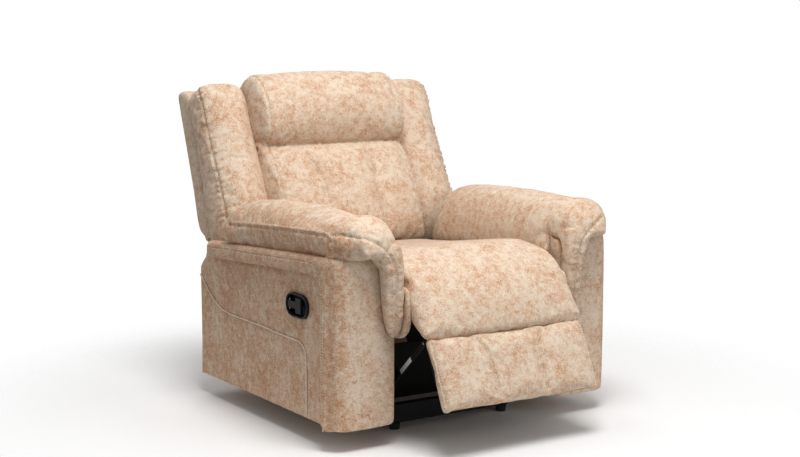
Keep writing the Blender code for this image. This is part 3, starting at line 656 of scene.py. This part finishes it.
def stitch(piece, body, path, offsets, lift=0.0005):
    """Remember lines of thread beside a path, laid on a piece that rides on a body."""
    places, normals, ahead = trace(piece, path, 0.003)
    tree = surface(piece)
    for offset in offsets:
        spots = [Vector(place) + Vector(run).cross(Vector(normal)).normalized() * offset
                 for place, normal, run in zip(places, normals, ahead)]
        hits = [tree.find_nearest(spot) for spot in spots]
        stitch_lines.setdefault(body, []).append([(hit[0] + hit[1] * lift, hit[1]) for hit in hits])


def make_thread(body, length=STITCH, radius=THREAD_RADIUS):
    """One mesh with every stitch of a body: small spindles laid along the remembered lines."""
    verts, faces = [], []
    rings = ((-0.36, 0.75), (0.0, 1.0), (0.36, 0.75))   # share of the length, share of the radius
    for line in stitch_lines[body]:
        spots = np.array([tuple(p) for p, _ in line])
        ups = np.array([tuple(n) for _, n in line])
        along = np.concatenate([[0], np.cumsum(np.linalg.norm(np.diff(spots, axis=0), axis=1))])
        for start in np.arange(0, along[-1] - length, length + STITCH_GAP):
            ends = [np.array([np.interp(s, along, spots[:, k]) for k in range(3)])
                    for s in (start, start + length)]
            up = np.array([np.interp(start, along, ups[:, k]) for k in range(3)])
            run = (ends[1] - ends[0]) / (np.linalg.norm(ends[1] - ends[0]) + 1e-9)
            side = np.cross(run, up)
            side /= np.linalg.norm(side) + 1e-9
            up = np.cross(side, run)
            middle = (ends[0] + ends[1]) / 2
            base = len(verts)
            verts.append(tuple(ends[0] - up * radius * 0.8))
            for share, size in rings:
                for turn in range(4):
                    angle = math.pi / 4 + turn * math.pi / 2
                    spin = side * math.cos(angle) + up * math.sin(angle)
                    verts.append(tuple(middle + run * share * length + spin * radius * size))
            verts.append(tuple(ends[1] - up * radius * 0.8))
            for turn in range(4):
                after = (turn + 1) % 4
                faces.append((base, base + 1 + after, base + 1 + turn))
                for ring in (0, 1):
                    a = base + 1 + ring * 4
                    faces.append((a + turn, a + after, a + 4 + after, a + 4 + turn))
                faces.append((base + 13, base + 9 + turn, base + 9 + after))
    thread = smooth(new_piece("thread_" + body, verts, faces, THREAD))
    print(thread.name, "has", len(faces) // 16, "stitches")
    return thread


def fix(piece, body, nodes=()):
    """Say what a piece rides on and hide the nodes that it stands for."""
    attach(piece, body)
    if nodes:
        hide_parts(*nodes)


print("seams, thread and fixings are ready")

# %% [markdown]
# ## The back
# The back is a stack: a flat upholstered shell, two wings at the sides, and between them one deep
# cushion. A seam across it, pulled in hard, parts the headrest roll from the lumbar cushion below.
# Each piece is drawn a little slim, because it swells.

# %% Headrest and lumbar cushion
def across(points_at, low, high, count=9):
    """A path straight across the chair at a (forward, height) point."""
    return [at(x, *points_at) for x in np.linspace(low, high, count)]


CUSHION_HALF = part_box("headrest_cushion")[1][0]
EDGE_X = 0.250                 # where the front's cover meets the side boxing
BAND = (-0.276, 0.788)         # the seam between headrest and lumbar cushion
head_front = mm((-262, 800), (-250, 820), (-247, 862), (-262, 918), (-297, 968), (-343, 1002), (-395, 1007),
                (-440, 985))
lumbar_front = mm((-262, 772), (-243, 752), (-210, 708), (-173, 650), (-143, 588), (-122, 520), (-120, 466))
cushion_back = mm((-480, 930), (-435, 785), (-370, 580), (-335, 475), (-260, 458), (-160, 452))
cushion_outline = lumbar_front[::-1] + [BAND] + head_front + cushion_back
back_cushion = wide_profile("headrest_and_lumbar_cover", cushion_outline, -CUSHION_HALF, CUSHION_HALF,
                            0.022, 0.008, spacing=0.007)


def along_front(front, x):
    """A path down a front outline, at one place across the chair."""
    return [at(x, forward, height) for forward, height in front]


cushion_edges = [along_front(head_front[::-1] + [BAND] + lumbar_front, x) for x in (-EDGE_X, EDGE_X)]
band = across(BAND, -0.255, 0.255, 15)
SEAM_LIFT = 0.012              # seam paths lie this far off the unswollen skin


def lumbar_seam(sign):
    """One of the two bowed seams down the lumbar cushion."""
    bow = mm((128, -255, 770), (112, -225, 740), (102, -190, 690), (100, -160, 630), (101, -135, 560),
             (104, -118, 490))
    return all_at(sign, [(x, forward + SEAM_LIFT, height) for x, forward, height in bow])


will_swell(back_cushion, cushion_edges + [band, lumbar_seam(-1), lumbar_seam(1)], cap=0.016)

# %% [markdown]
# A wing is a tall bolster. Its outer seam runs from the crown down to the arm, and that is where
# the cover is gathered most.

# %% Wings
wing_front = mm((-172, 470), (-168, 550), (-222, 665), (-286, 790), (-338, 905), (-368, 955), (-402, 975),
                (-440, 965))
wing_back = mm((-492, 925), (-455, 800), (-400, 640), (-352, 505), (-325, 440), (-240, 428), (-195, 438))
WING_INNER, WING_OUTER = 0.272, 0.434
wings, wing_seams = {}, {}
for side, sign in SIDES:
    inner, outer = sorted((sign * WING_INNER, sign * WING_OUTER))
    wings[side] = wide_profile("wing_bolster_" + side, wing_front + wing_back, inner, outer, 0.036, 0.004)
    lean = [(forward - 0.030, height) for forward, height in wing_front[1:-1]]
    wing_seams[side] = along_front(lean + [(-0.445, 0.975)], sign * (WING_OUTER - 0.001))
    will_swell(wings[side], [wing_seams[side]], cap=0.015)

# %% [markdown]
# The shell is a flat board under thin foam. It is drawn in its own leaning plane: across the chair,
# and up the slope of the back. The boxing is the cover of the frame between shell and cushions.

# %% Back shell
panel_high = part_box("back_panel")[1]
BACK_SLOPE = 0.3589
BACK_FOOT = (-0.412, 0.444)


def back_plane(depth, x, height):
    """A point on the outer back, moved forward by depth."""
    return at(x, BACK_FOOT[0] - BACK_SLOPE * (height - BACK_FOOT[1]) + depth, height)


shell_half, shell_top, tail_half = panel_high[0] - 0.004, panel_high[2] - 0.004, 0.266
shell_outline = [(-tail_half, 0.303), (0.0, 0.302), (tail_half, 0.303), (tail_half + 0.002, 0.380),
                 (tail_half + 0.010, 0.455), (shell_half - 0.03, 0.468), (shell_half, 0.490),
                 (shell_half, 0.700), (shell_half, 0.880), (shell_half - 0.015, 0.930),
                 (shell_half - 0.055, shell_top), (0.0, shell_top + 0.004)]
shell_outline += [(-x, z) for x, z in reversed(shell_outline[3:-1])]
shell = wide_profile("back_shell", shell_outline, -0.006, 0.017, 0.009, 0.0, back_plane)
even_skin(shell, 0.006, 4)
BOXING_HALF = 0.424
boxing_outline = mm((-345, 500), (-388, 640), (-442, 800), (-480, 915), (-505, 945), (-545, 953),
                    (-580, 944), (-571, 900), (-528, 780), (-478, 640), (-430, 505))
back_boxing = wide_profile("back_boxing", boxing_outline, -BOXING_HALF, BOXING_HALF, 0.016)
even_skin(back_boxing, 0.007, 3)
fix(back_boxing, "back")
print("back shell", len(shell.data.vertices), "points, boxing", len(back_boxing.data.vertices))

# %% [markdown]
# ## Seat and footrest
# The seat cushion and the waterfall pad in front of it wear one cover, which bends where the
# footrest folds. Here that cover is one mesh. The footrest pad is separate.

# %% Seat cover
SEAT_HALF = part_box("seat_cushion")[1][0]
SEAT_SPREAD = 0.017            # how much wider the seat is at its crown than between the plates
seat_outline = mm((-104, 450), (-30, 460), (110, 474), (260, 495), (390, 514), (480, 519), (540, 504),
                  (584, 472), (627, 414), (662, 362), (675, 338), (658, 320), (610, 346), (545, 390),
                  (480, 425), (430, 425), (400, 392), (300, 388), (100, 386), (-80, 386))


def seat_place(x, forward, height):
    """The seat spreads over and in front of the side plates, and is narrower between them."""
    rise = min(1.0, max(0.0, (height - 0.435) / 0.060, (forward - 0.545) / 0.050))
    return at(x * (1 + SEAT_SPREAD / SEAT_HALF * rise * rise * (3 - 2 * rise)), forward, height)


seat = wide_profile("seat_and_chaise_cover", seat_outline, -SEAT_HALF + 0.002, SEAT_HALF - 0.002, 0.020,
                    0.008, seat_place)
will_swell(seat, [across((0.673, 0.336), -0.25, 0.25)], cap=0.014)

# %% Footrest pad
FOOT_TOP, FOOT_END = Vector((0.678, 0.333)), Vector((0.770, 0.138))
face_run = (FOOT_END - FOOT_TOP).normalized()
face_back = Vector((face_run[1], -face_run[0]))
FACE_LENGTH = (FOOT_END - FOOT_TOP).length
FOOT_SPREAD = 0.012            # how far the pad bulges over the sides of its board
FOOT_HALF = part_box("footrest_pad")[1][0] + FOOT_SPREAD


def on_footrest(down, behind):
    """A (forward, height) point, from a distance down the pad's face and one behind it."""
    return tuple(FOOT_TOP + face_run * down + face_back * behind)


foot_outline = [on_footrest(*p) for p in (
    (0.004, 0.008), (0.050, -0.001), (0.110, -0.003), (0.165, -0.002), (FACE_LENGTH - 0.012, 0.003),
    (FACE_LENGTH - 0.003, 0.014), (FACE_LENGTH - 0.008, 0.029), (0.160, 0.032), (0.100, 0.032),
    (0.050, 0.032), (0.012, 0.032), (0.001, 0.021))]
footrest = wide_profile("footrest_cushion", foot_outline, -FOOT_HALF + 0.001, FOOT_HALF - 0.001, 0.012,
                        0.003, spacing=0.006)


def footrest_seam(sign):
    """One of the two bowed seams down the pad's face."""
    bow = [(0.112, 0.012), (0.096, 0.045), (0.086, 0.085), (0.083, 0.130), (0.083, 0.175),
           (0.084, FACE_LENGTH - 0.014)]
    return [at(sign * x, *on_footrest(down, -0.008)) for x, down in bow]


footrest_edges = [[at(x, *on_footrest(down, 0.004)) for down in np.linspace(0.010, FACE_LENGTH - 0.008, 7)]
                  for x in (-FOOT_HALF + 0.009, FOOT_HALF - 0.009)]
will_swell(footrest, [footrest_seam(-1), footrest_seam(1)] + footrest_edges, 0.010, 0.0065, 3)

# %% [markdown]
# ## Arms
# The arm pad is the showpiece: boxed outside, rolled over the top and inside, turned down over the
# front, and drawn out into a tail on the inner front edge. It is swept along the arm, fanned round
# the nose, and the tail is welded on by the remesh.

# %% Arm pads
PAD_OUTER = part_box("arm_pad_left")[1][0] - 0.003
NOSE_BASE = (0.500, 0.543)
NOSE_TURN = 85                 # degrees that the pad turns down over the arm's front


def pad_section(top, seam, base):
    """The arm pad's section as (distance from the middle of the chair, height)."""
    return [(0.455, base), (PAD_OUTER - 0.004, base + 0.001), (PAD_OUTER, base + 0.010),
            (PAD_OUTER + 0.002, (base + seam) / 2), (PAD_OUTER + 0.001, seam - 0.004),
            (PAD_OUTER - 0.005, seam + 0.004), (PAD_OUTER - 0.024, seam + 0.025),
            (0.430, top - 0.010), (0.388, top), (0.345, top - 0.012), (0.308, top - 0.048),
            (0.285, top - 0.098), (0.279, 0.505), (0.277, 0.462), (0.286, 0.438), (0.303, 0.450),
            (0.308, 0.490), (0.320, base - 0.006), (0.370, base)]


def with_count(loop, sections):
    """The loop with as many points as the sections before it have."""
    if not sections:
        return loop
    picks = np.linspace(0, len(loop), len(sections[0]), endpoint=False)
    wrapped = np.concatenate([loop, loop[:1]])
    return np.stack([np.interp(picks, np.arange(len(wrapped)), wrapped[:, k]) for k in (0, 1)], 1)


def arm_pad(side, sign):
    """The swept body, the nose fanned over the front, and the tail, welded by the remesh."""
    sections = []
    for forward, top, seam, base in mm((-108, 594, 572, 518), (-104, 616, 578, 516), (-85, 631, 580, 517),
                                       (-40, 641, 583, 520), (50, 651, 588, 525), (150, 657, 594, 530),
                                       (260, 659, 600, 537), (360, 655, 607, 543), (440, 650, 612, 547),
                                       (500, 644, 612, 549)):
        loop = smooth_curve(pad_section(top, seam, base), 0.009, closed=True)
        loop = with_count(loop, sections)
        sections.append([at(sign * x, forward, height) for x, height in loop])
    body = loft("stuffed_arm_pad_" + side, sections)

    fan = []
    for turn in np.linspace(-10, NOSE_TURN, 12):
        lean = math.radians(turn)
        share = max(0.0, turn) / NOSE_TURN
        reach = 0.108 - 0.006 * share
        outer = PAD_OUTER - 0.002 - 0.036 * share ** 1.6
        outline = [(outer - 0.004, -0.002), (outer, 0.030), (outer - 0.004, 0.068 - 0.020 * share),
                   (outer - 0.030, 0.094 - 0.014 * share), (0.420, reach), (0.375, reach + 0.002),
                   (0.330, reach - 0.008), (0.300, reach - 0.034), (0.284, 0.050), (0.281, 0.000)]
        loop = smooth_curve(outline + [(0.380, -0.004)], 0.010, closed=True)
        loop = with_count(loop, fan)
        run, rise = math.sin(lean), math.cos(lean)
        fan.append([at(sign * x, NOSE_BASE[0] + 0.004 + h * run, NOSE_BASE[1] + h * rise) for x, h in loop])
    nose = loft("nose", fan)

    tail = []
    for height, front, rear, inner, outer in mm((575, 598, 525, 284, 400), (545, 602, 538, 283, 374),
                                                (512, 601, 546, 281, 357), (465, 597, 547, 280, 349),
                                                (410, 591, 547, 280, 344), (370, 584, 547, 281, 338),
                                                (338, 575, 548, 285, 328), (318, 563, 549, 294, 314)):
        loop = []
        for i in range(24):
            angle = 2 * math.pi * i / 24
            c, s = (math.copysign(abs(v) ** 0.7, v) for v in (math.cos(angle), math.sin(angle)))
            loop.append(at(sign * ((inner + outer) / 2 + (outer - inner) / 2 * c),
                           (front + rear) / 2 + (front - rear) / 2 * s, height))
        tail.append(loop)
    return joined(body, nose, loft("tail", tail))


def pad_seams(sign):
    """Outer seam, front seam with its tail, and the short upright seam under the pucker."""
    outer = [at(sign * (PAD_OUTER + 0.002), forward, height) for forward, height in mm(
        (-95, 577), (50, 588), (230, 600), (380, 608), (480, 613), (512, 612))]
    front = all_at(sign, [(PAD_OUTER, 0.514, 0.612)] + mm(
        (462, 545, 612), (430, 570, 604), (395, 590, 592), (362, 603, 575), (338, 608, 550),
        (324, 606, 515), (317, 602, 460), (313, 594, 400), (309, 580, 345)))
    upright = [at(sign * (PAD_OUTER + 0.002), 0.510, height) for height in (0.606, 0.580, 0.556)]
    return outer, front, upright


pads, pad_paths = {}, {}
for side, sign in SIDES:
    pads[side] = arm_pad(side, sign)
    pad_paths[side] = pad_seams(sign)
    will_swell(pads[side], pad_paths[side], 0.011, 0.0068, 3)

# %% Swell everything soft in one run
swell_all()

# %% [markdown]
# ## Panels of the arms
# The side panel is a flat padded board with one welted seam. The belt and the front panel are one
# stuffed band that stands proud of it: it comes along the side, turns the corner and covers the
# front. Boards need no simulation, only soft corners and crisp seams.

# %% Side panels, surrounds and the arm's inner faces
PANEL_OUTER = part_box("side_panel_left")[1][0]
PANEL_INNER, BOW_FROM = 0.4495, 0.452
BAND_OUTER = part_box("arm_surround_left")[1][0]
ARM_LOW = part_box("side_panel_left")[0][2]


def arm_line(forward):
    """Height of the sloping line where the arm pad meets the arm."""
    return 0.512 + (forward + 0.112) * 0.0572


deco_seam = mm((-318, 384), (-285, 362), (-235, 326), (-180, 301), (-125, 291), (0, 288), (160, 285),
               (300, 282), (342, 276), (362, 257), (368, 225), (369, 160), (369, 78))
side_outline = [(-0.3235, ARM_LOW + 0.030), (-0.322, ARM_LOW + 0.008), (-0.312, ARM_LOW + 0.001),
                (-0.290, ARM_LOW), (0.100, ARM_LOW), (0.460, ARM_LOW), (0.488, ARM_LOW + 0.002),
                (0.498, 0.080), (0.499, 0.300), (0.499, 0.530), (0.490, 0.544),
                (0.300, arm_line(0.300) - 0.002), (-0.225, arm_line(-0.225) - 0.002)]
side_outline += mm((-262, 468), (-320, 416), (-325, 390), (-324, 240))


def side_face(x, forward, height):
    """The side panel bows a little, so it is fullest in the middle and tapers to the rear."""
    bow = 0.002 * (1 - ((forward - 0.10) / 0.42) ** 2) - 0.003 * max(0.0, (0.16 - height) / 0.10)
    share = max(0.0, (abs(x) - BOW_FROM) / (PANEL_OUTER - BOW_FROM))
    return at(x + math.copysign(bow * share, x), forward, height)


def side_panel(side, sign):
    inner, outer = sorted((sign * PANEL_INNER, sign * PANEL_OUTER))
    panel = wide_profile("side_panel_cover_" + side, side_outline, inner, outer, 0.009, 0.0, side_face)
    return even_skin(panel, 0.0060, 3)


CORNER = 0.044                 # radius of the arm's front corner, seen from above
BACK_OF_BAND = 0.503
BELT_PROUD = 0.009             # how far the belt stands out past the front panel
BELT_DEPTH = 0.022             # how deep its inner side is sunk into the side panel


def rounded_corner(x, forward, height):
    """The front panel turns the corner on a wide radius."""
    over = min(CORNER, max(0.0, abs(x) - (BAND_OUTER - CORNER)))
    drop = CORNER - math.sqrt(CORNER ** 2 - over ** 2)
    share = min(1.0, max(0.0, (forward - BACK_OF_BAND) / 0.040))
    return at(x, forward - drop * share, height)


def surround(side, sign):
    """The front panel and the belt, welded into one band by the remesh."""
    inner, outer = sorted((sign * 0.2860, sign * BAND_OUTER))
    front = mm((501.5, 80), (508, 64), (530, 63), (543, 74), (546, 200), (546, 350), (545, 490), (541, 528),
               (530, 542), (508, 545), (502, 535), (501.5, 300))
    panel = wide_profile("front_band_" + side, front, inner, outer, 0.014, 0.003, rounded_corner,
                         spacing=0.006)
    low_edge = [(forward, arm_line(forward) - 0.054) for forward in (-0.215, -0.050, 0.150, 0.350)]
    top_edge = [(forward, arm_line(forward) - 0.001) for forward in (0.470, 0.300, 0.100, -0.100, -0.215)]
    belt_outline = ([(-0.238, arm_line(-0.238) - 0.028), (-0.232, arm_line(-0.232) - 0.046)] + low_edge
                    + [(0.425, 0.481), (0.452, 0.472), (0.466, 0.450), (0.470, 0.400), (0.471, 0.200),
                       (0.471, 0.080), (0.486, 0.064), (0.505, 0.075), (0.510, 0.300), (0.510, 0.480),
                       (0.510, 0.525), (0.504, 0.540), (0.492, 0.544)] + top_edge
                    + [(-0.232, arm_line(-0.232) - 0.008)])
    low, high = sorted((sign * (PANEL_OUTER - BELT_DEPTH), sign * (BAND_OUTER + BELT_PROUD)))
    belt = wide_profile("belt", belt_outline, low, high, 0.018, spacing=0.005)
    return even_skin(joined(panel, belt), 0.0045, 3)


def inner_face(side, sign):
    """The arm's timber body in its cover; the low part at the rear leaves room for the wing."""
    low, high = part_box("arm_core_" + side)
    rear, front = ORIGIN - high[1], ORIGIN - low[1]
    step = -0.112
    outline = [(rear, low[2]), (front, low[2]), (front, arm_line(front)), (step, arm_line(step)),
               (step, 0.280), (rear, 0.280)]
    sections = []
    inner, outer = sign * 0.2850, sign * 0.4457
    for x, shrink in ((inner, 0.004), (inner + sign * 0.0012, 0.0012), (inner + sign * 0.004, 0.0),
                      (outer - sign * 0.004, 0.0), (outer, 0.003)):
        sections.append([at(x, forward + (shrink if forward < 0.4 else -shrink),
                            height + (shrink if height < 0.1 else -shrink)) for forward, height in outline])
    return loft("arm_body_" + side, sections)


side_panels, bands, bodies_of_arms = {}, {}, {}
for side, sign in SIDES:
    side_panels[side] = side_panel(side, sign)
    bands[side] = surround(side, sign)
    bodies_of_arms[side] = inner_face(side, sign)
print("side panel", len(side_panels["left"].data.vertices), "band", len(bands["left"].data.vertices))

# %% [markdown]
# The release lever sits in a dish, so the right side panel needs an oval window. A Boolean cuts it
# after the remesh, which would have blurred its edge.

# %% Window for the lever
bezel_low, bezel_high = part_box("lever_bezel")
window_centre = (ORIGIN - (bezel_low[1] + bezel_high[1]) / 2, (bezel_low[2] + bezel_high[2]) / 2)


WINDOW_LAP = 0.0012            # the window is this much smaller than the dish, whose rim covers its edge


def oval(centre, length, width, count=16):
    """A slot with round ends, as (forward, height) points."""
    loop = []
    for side in (1, -1):
        for turn in np.radians(np.linspace(-90, 90, count + 1)):
            loop.append((centre[0] + side * ((length - width) / 2 + width / 2 * math.cos(turn)),
                         centre[1] + side * width / 2 * math.sin(turn)))
    return loop


window = oval(window_centre, bezel_high[1] - bezel_low[1] - WINDOW_LAP,
              bezel_high[2] - bezel_low[2] - WINDOW_LAP)
cutter = loft("window_cutter", [[at(x, *p) for p in window] for x in (-0.55, -0.40)])
cut = side_panels["right"].modifiers.new("window", "BOOLEAN")
cut.operation, cut.solver, cut.object = "DIFFERENCE", "EXACT", cutter
applied(side_panels["right"])
bpy.data.objects.remove(cutter)
print("window cut, panel now has", len(side_panels["right"].data.vertices), "points")

# %% Seat borders
HAIR = 0.0003                  # keeps a cover just inside the solid it replaces
borders = {}
for side, sign in SIDES:
    low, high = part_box("seat_border_" + side)
    border_outline = mm((402, 303), (470, 302), (530, 304), (568, 314), (592, 340), (600, 385), (594, 430),
                        (572, 454), (470, 456), (404, 455), (402, 380))
    borders[side] = wide_profile("seat_border_cover_" + side, border_outline, low[0] + HAIR,
                                 high[0] - HAIR, 0.006, spacing=0.005)
    even_skin(borders[side], 0.0035, 3)
print("seat borders drawn")

# %% [markdown]
# ## Sewing
# Now the seams go in, with gathers where thick filling is pulled in tight: strong beside the wings'
# outer seams and round the arm's nose, faint on the flat panels. Thread follows.

# %% Press the seams and lay the thread
double = (-0.0040, 0.0040)     # two lines of thread, this far beside the seam
under_line = [(forward, arm_line(forward) - 0.057) for forward in (-0.215, -0.050, 0.150, 0.350)]
under_line += mm((425, 478), (450, 468), (463, 448), (467, 400), (468, 200), (468, 90))
belt_line = [(forward, arm_line(forward) - 0.018) for forward in (-0.215, -0.050, 0.150, 0.300, 0.420)]
belt_line += mm((455, 516), (476, 500), (487, 474), (491, 430), (492, 300), (492, 160), (492, 90))


def under_belt(sign):
    """The crease where the belt meets the side panel."""
    return [at(sign * (PANEL_OUTER + 0.002), *p) for p in under_line]


def welt_path(sign):
    """The welted seam that curves over the side panel."""
    return [at(sign * (PANEL_OUTER + 0.006), *p) for p in deco_seam]


def seam(piece, body, path, offsets, valley, ridge, **more):
    """Sew along a path, then lay its lines of thread."""
    sew(piece, path, valley, ridge, **more)
    stitch(piece, body, path, offsets)


for number, path in enumerate(cushion_edges):
    seam(back_cushion, "back", path, ((-0.0046,), (0.0046,))[number], 0.0034, 0.0018, seed=number + 1.0)
sew(back_cushion, band, 0.0075, 0.0020, seed=5.0, width=0.0065)
strip = across((BAND[0] + 0.020, BAND[1] - 0.015), -0.235, 0.235, 15)
seam(back_cushion, "back", strip, (-0.0050, 0.0046), 0.0022, 0.0006, seed=5.5, width=0.0035)
for sign in (-1, 1):
    seam(back_cushion, "back", lumbar_seam(sign), double, 0.0050, 0.0012, seed=6.0 + sign)
for number, (side, sign) in enumerate(SIDES):
    seam(wings[side], "back", wing_seams[side], (-0.0062, 0.0062), 0.0060, 0.0048, fade=0.020,
         pitch=0.010, seed=10.0 + number, width=0.0055)

shell_seams = [[back_plane(-0.004, x, 0.500) for x in np.linspace(-0.385, 0.385, 9)],
               [back_plane(-0.004, x, 0.905) for x in np.linspace(-0.36, 0.36, 9)]]
for number, path in enumerate(shell_seams):
    seam(shell, "back", path, double, 0.0016, 0.0006, seed=14.0 + number)

for sign in (-1, 1):
    seam(footrest, "footrest", footrest_seam(sign), double, 0.0050, 0.0014, seed=20.0 + sign)
for number, path in enumerate(footrest_edges):
    seam(footrest, "footrest", path, double[::-1], 0.0034, 0.0014, seed=24.0 + number)

for number, (side, sign) in enumerate(SIDES):
    outer, front, upright = pad_paths[side]
    below = [point - Vector((0, 0, 0.0075)) for point in outer]
    sew(pads[side], below, 0.0034, 0.0022, 0.016, 0.009, seed=30.0 + number)
    sew(pads[side], outer, -0.0022, width=0.0034)
    sew(pads[side], front, 0.0046, 0.0028, 0.024, 0.010, seed=32.0 + number, width=0.0050)
    sew(pads[side], upright, 0.0046, 0.0040, seed=34.0 + number)
    stitch(pads[side], "base", [point + Vector((0, 0, 0.0080)) for point in outer], (0.0,))
    stitch(pads[side], "base", front, (-0.0052, 0.0052))

    sew(side_panels[side], welt_path(sign), 0.0024)
    for piece in (bands[side], side_panels[side]):
        sew(piece, under_belt(sign), 0.0035)
    belt_seam = [at(sign * (BAND_OUTER + 0.010), *p) for p in belt_line]
    seam(bands[side], "base", belt_seam, (-0.0044, 0.0044), 0.0030, 0.0012, seed=38.0 + number)
print("seams pressed, lines of thread:", {body: len(lines) for body, lines in stitch_lines.items()})

# %% [markdown]
# The welt on the side panel is a cord wrapped in cover fabric and caught in the seam. It shows as a
# thin bead, half sunk, whose cover is painted paler as a painted highlight.

# %% Welts
def welt(side, sign):
    places, normals, ahead = trace(side_panels[side], welt_path(sign), 0.005)
    radius = 0.0027
    sections = []
    for place, normal, run in zip(places, normals, ahead):
        side_way = np.cross(run, normal)
        middle = place + normal * radius * 0.75
        sections.append([tuple(middle + radius * (side_way * math.cos(t) + normal * math.sin(t)))
                         for t in np.linspace(0, 2 * math.pi, 9)[:-1]])
    return smooth(loft("side_welt_" + side, sections, WELT_HIGHLIT), 4)


# painted highlight: the welt's cover is moved 45% towards the pale colour
WELT_HIGHLIT = suede("welt_cover", 0.45)
welts = {side: welt(side, sign) for side, sign in SIDES}
threads = {body: make_thread(body) for body in stitch_lines}

# %% [markdown]
# ## The mechanism's small parts
# Rivet heads close each pivot, a dark lining hides the inside of each arm, a black board closes
# the base behind the links, and the link under the footrest carries a blank paper sticker.

# %% Rivets, lining, board and sticker
TURNED_SIDES = 20


def turned(name, centre, axis_sign, x, profile, finish):
    """A small turned part whose axis lies across the chair; profile is (out, radius) pairs."""
    turns = np.linspace(0, 2 * math.pi, TURNED_SIDES + 1)[:-1]
    sections = [[at(x + axis_sign * out, centre[0] + radius * math.cos(t), centre[1] + radius * math.sin(t))
                 for t in turns] for out, radius in profile]
    return smooth(loft(name, sections, finish), 4)


rivet_shape = ((0.0, 0.0072), (0.0010, 0.0072), (0.0018, 0.0066), (0.0026, 0.0048), (0.0030, 0.0022))


def pivot(joint):
    """A joint's axis as a (forward, height) point."""
    place = joints[joint]["pos_m"]
    return ORIGIN - place[1], place[2]


for joint, body, x in (("footrest_extend", "seat", 0.2652), ("front_link_turn", "seat", 0.2652),
                       ("back_recline", "seat", 0.2740), ("carrier_turn", "rear_links", 0.2597)):
    for side, sign in SIDES:
        head = turned("rivet_" + joint + "_" + side, pivot(joint), sign, sign * x, rivet_shape, ZINC)
        fix(head, body)

lining_outline = mm((-262, 78), (100, 76), (494, 78), (495, 180), (492, 296), (200, 298), (-100, 290),
                    (-260, 274))
for side, sign in SIDES:
    inner, outer = sorted((sign * 0.2836, sign * 0.2848))
    panel = wide_profile("arm_lining_" + side, lining_outline, inner, outer, 0.0004, spacing=0.012,
                         finish=LINING)
    fix(panel, "base")
BOARD_HALF = 0.200
board_outline = mm((252, 60), (262, 60), (262, 130), (262, 212), (252, 212), (252, 130))
front_board = wide_profile("front_board", board_outline, -BOARD_HALF, BOARD_HALF, 0.0005, spacing=0.010,
                           finish=LINING)
fix(front_board, "base")

carrier_rear, footrest_hinge = pivot("carrier_turn"), pivot("footrest_fold")
link_run = Vector(footrest_hinge) - Vector(carrier_rear)
link_across = Vector((-link_run[1], link_run[0])).normalized()
sticker_corners = [Vector(carrier_rear) + link_run * share + link_across * width for share, width in
                   ((0.36, -0.0068), (0.66, -0.0068), (0.66, 0.0068), (0.36, 0.0068))]
sticker_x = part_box("carrier_plate_right")[0][0]
sticker = loft("blank_sticker", [[at(x, *p) for p in sticker_corners]
                                 for x in (sticker_x - 0.0004, sticker_x + 0.0002)], PAPER)
fix(sticker, "carriers")
print("8 rivets, 2 linings, the board and a sticker")

# %% [markdown]
# ## Fixing everything to the frame
# Each piece now says which body carries it and which plain solids it stands for; the seat cover only hides
# its solids.

# %% Ride and replace
fix(back_cushion, "back", ["headrest_cushion", "lumbar_cushion"])
fix(shell, "back", ["back_panel"])
fix(footrest, "footrest", ["footrest_pad"])
for side, sign in SIDES:
    fix(wings[side], "back", ["wing_" + side])
    fix(pads[side], "base", ["arm_pad_" + side])
    fix(side_panels[side], "base", ["side_panel_" + side])
    fix(bands[side], "base", ["arm_surround_" + side])
    fix(bodies_of_arms[side], "base", ["arm_core_" + side])
    fix(borders[side], "seat", ["seat_border_" + side])
    fix(welts[side], "base")
nose_axis = pivot("chaise_fold")
at(0, nose_axis[0] - 0.045, nose_axis[1] + 0.02)
at(0, nose_axis[0] + 0.055, nose_axis[1] - 0.02)
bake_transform(seat)
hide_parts("seat_cushion", "chaise_pad")
for body, thread in threads.items():
    fix(thread, body)
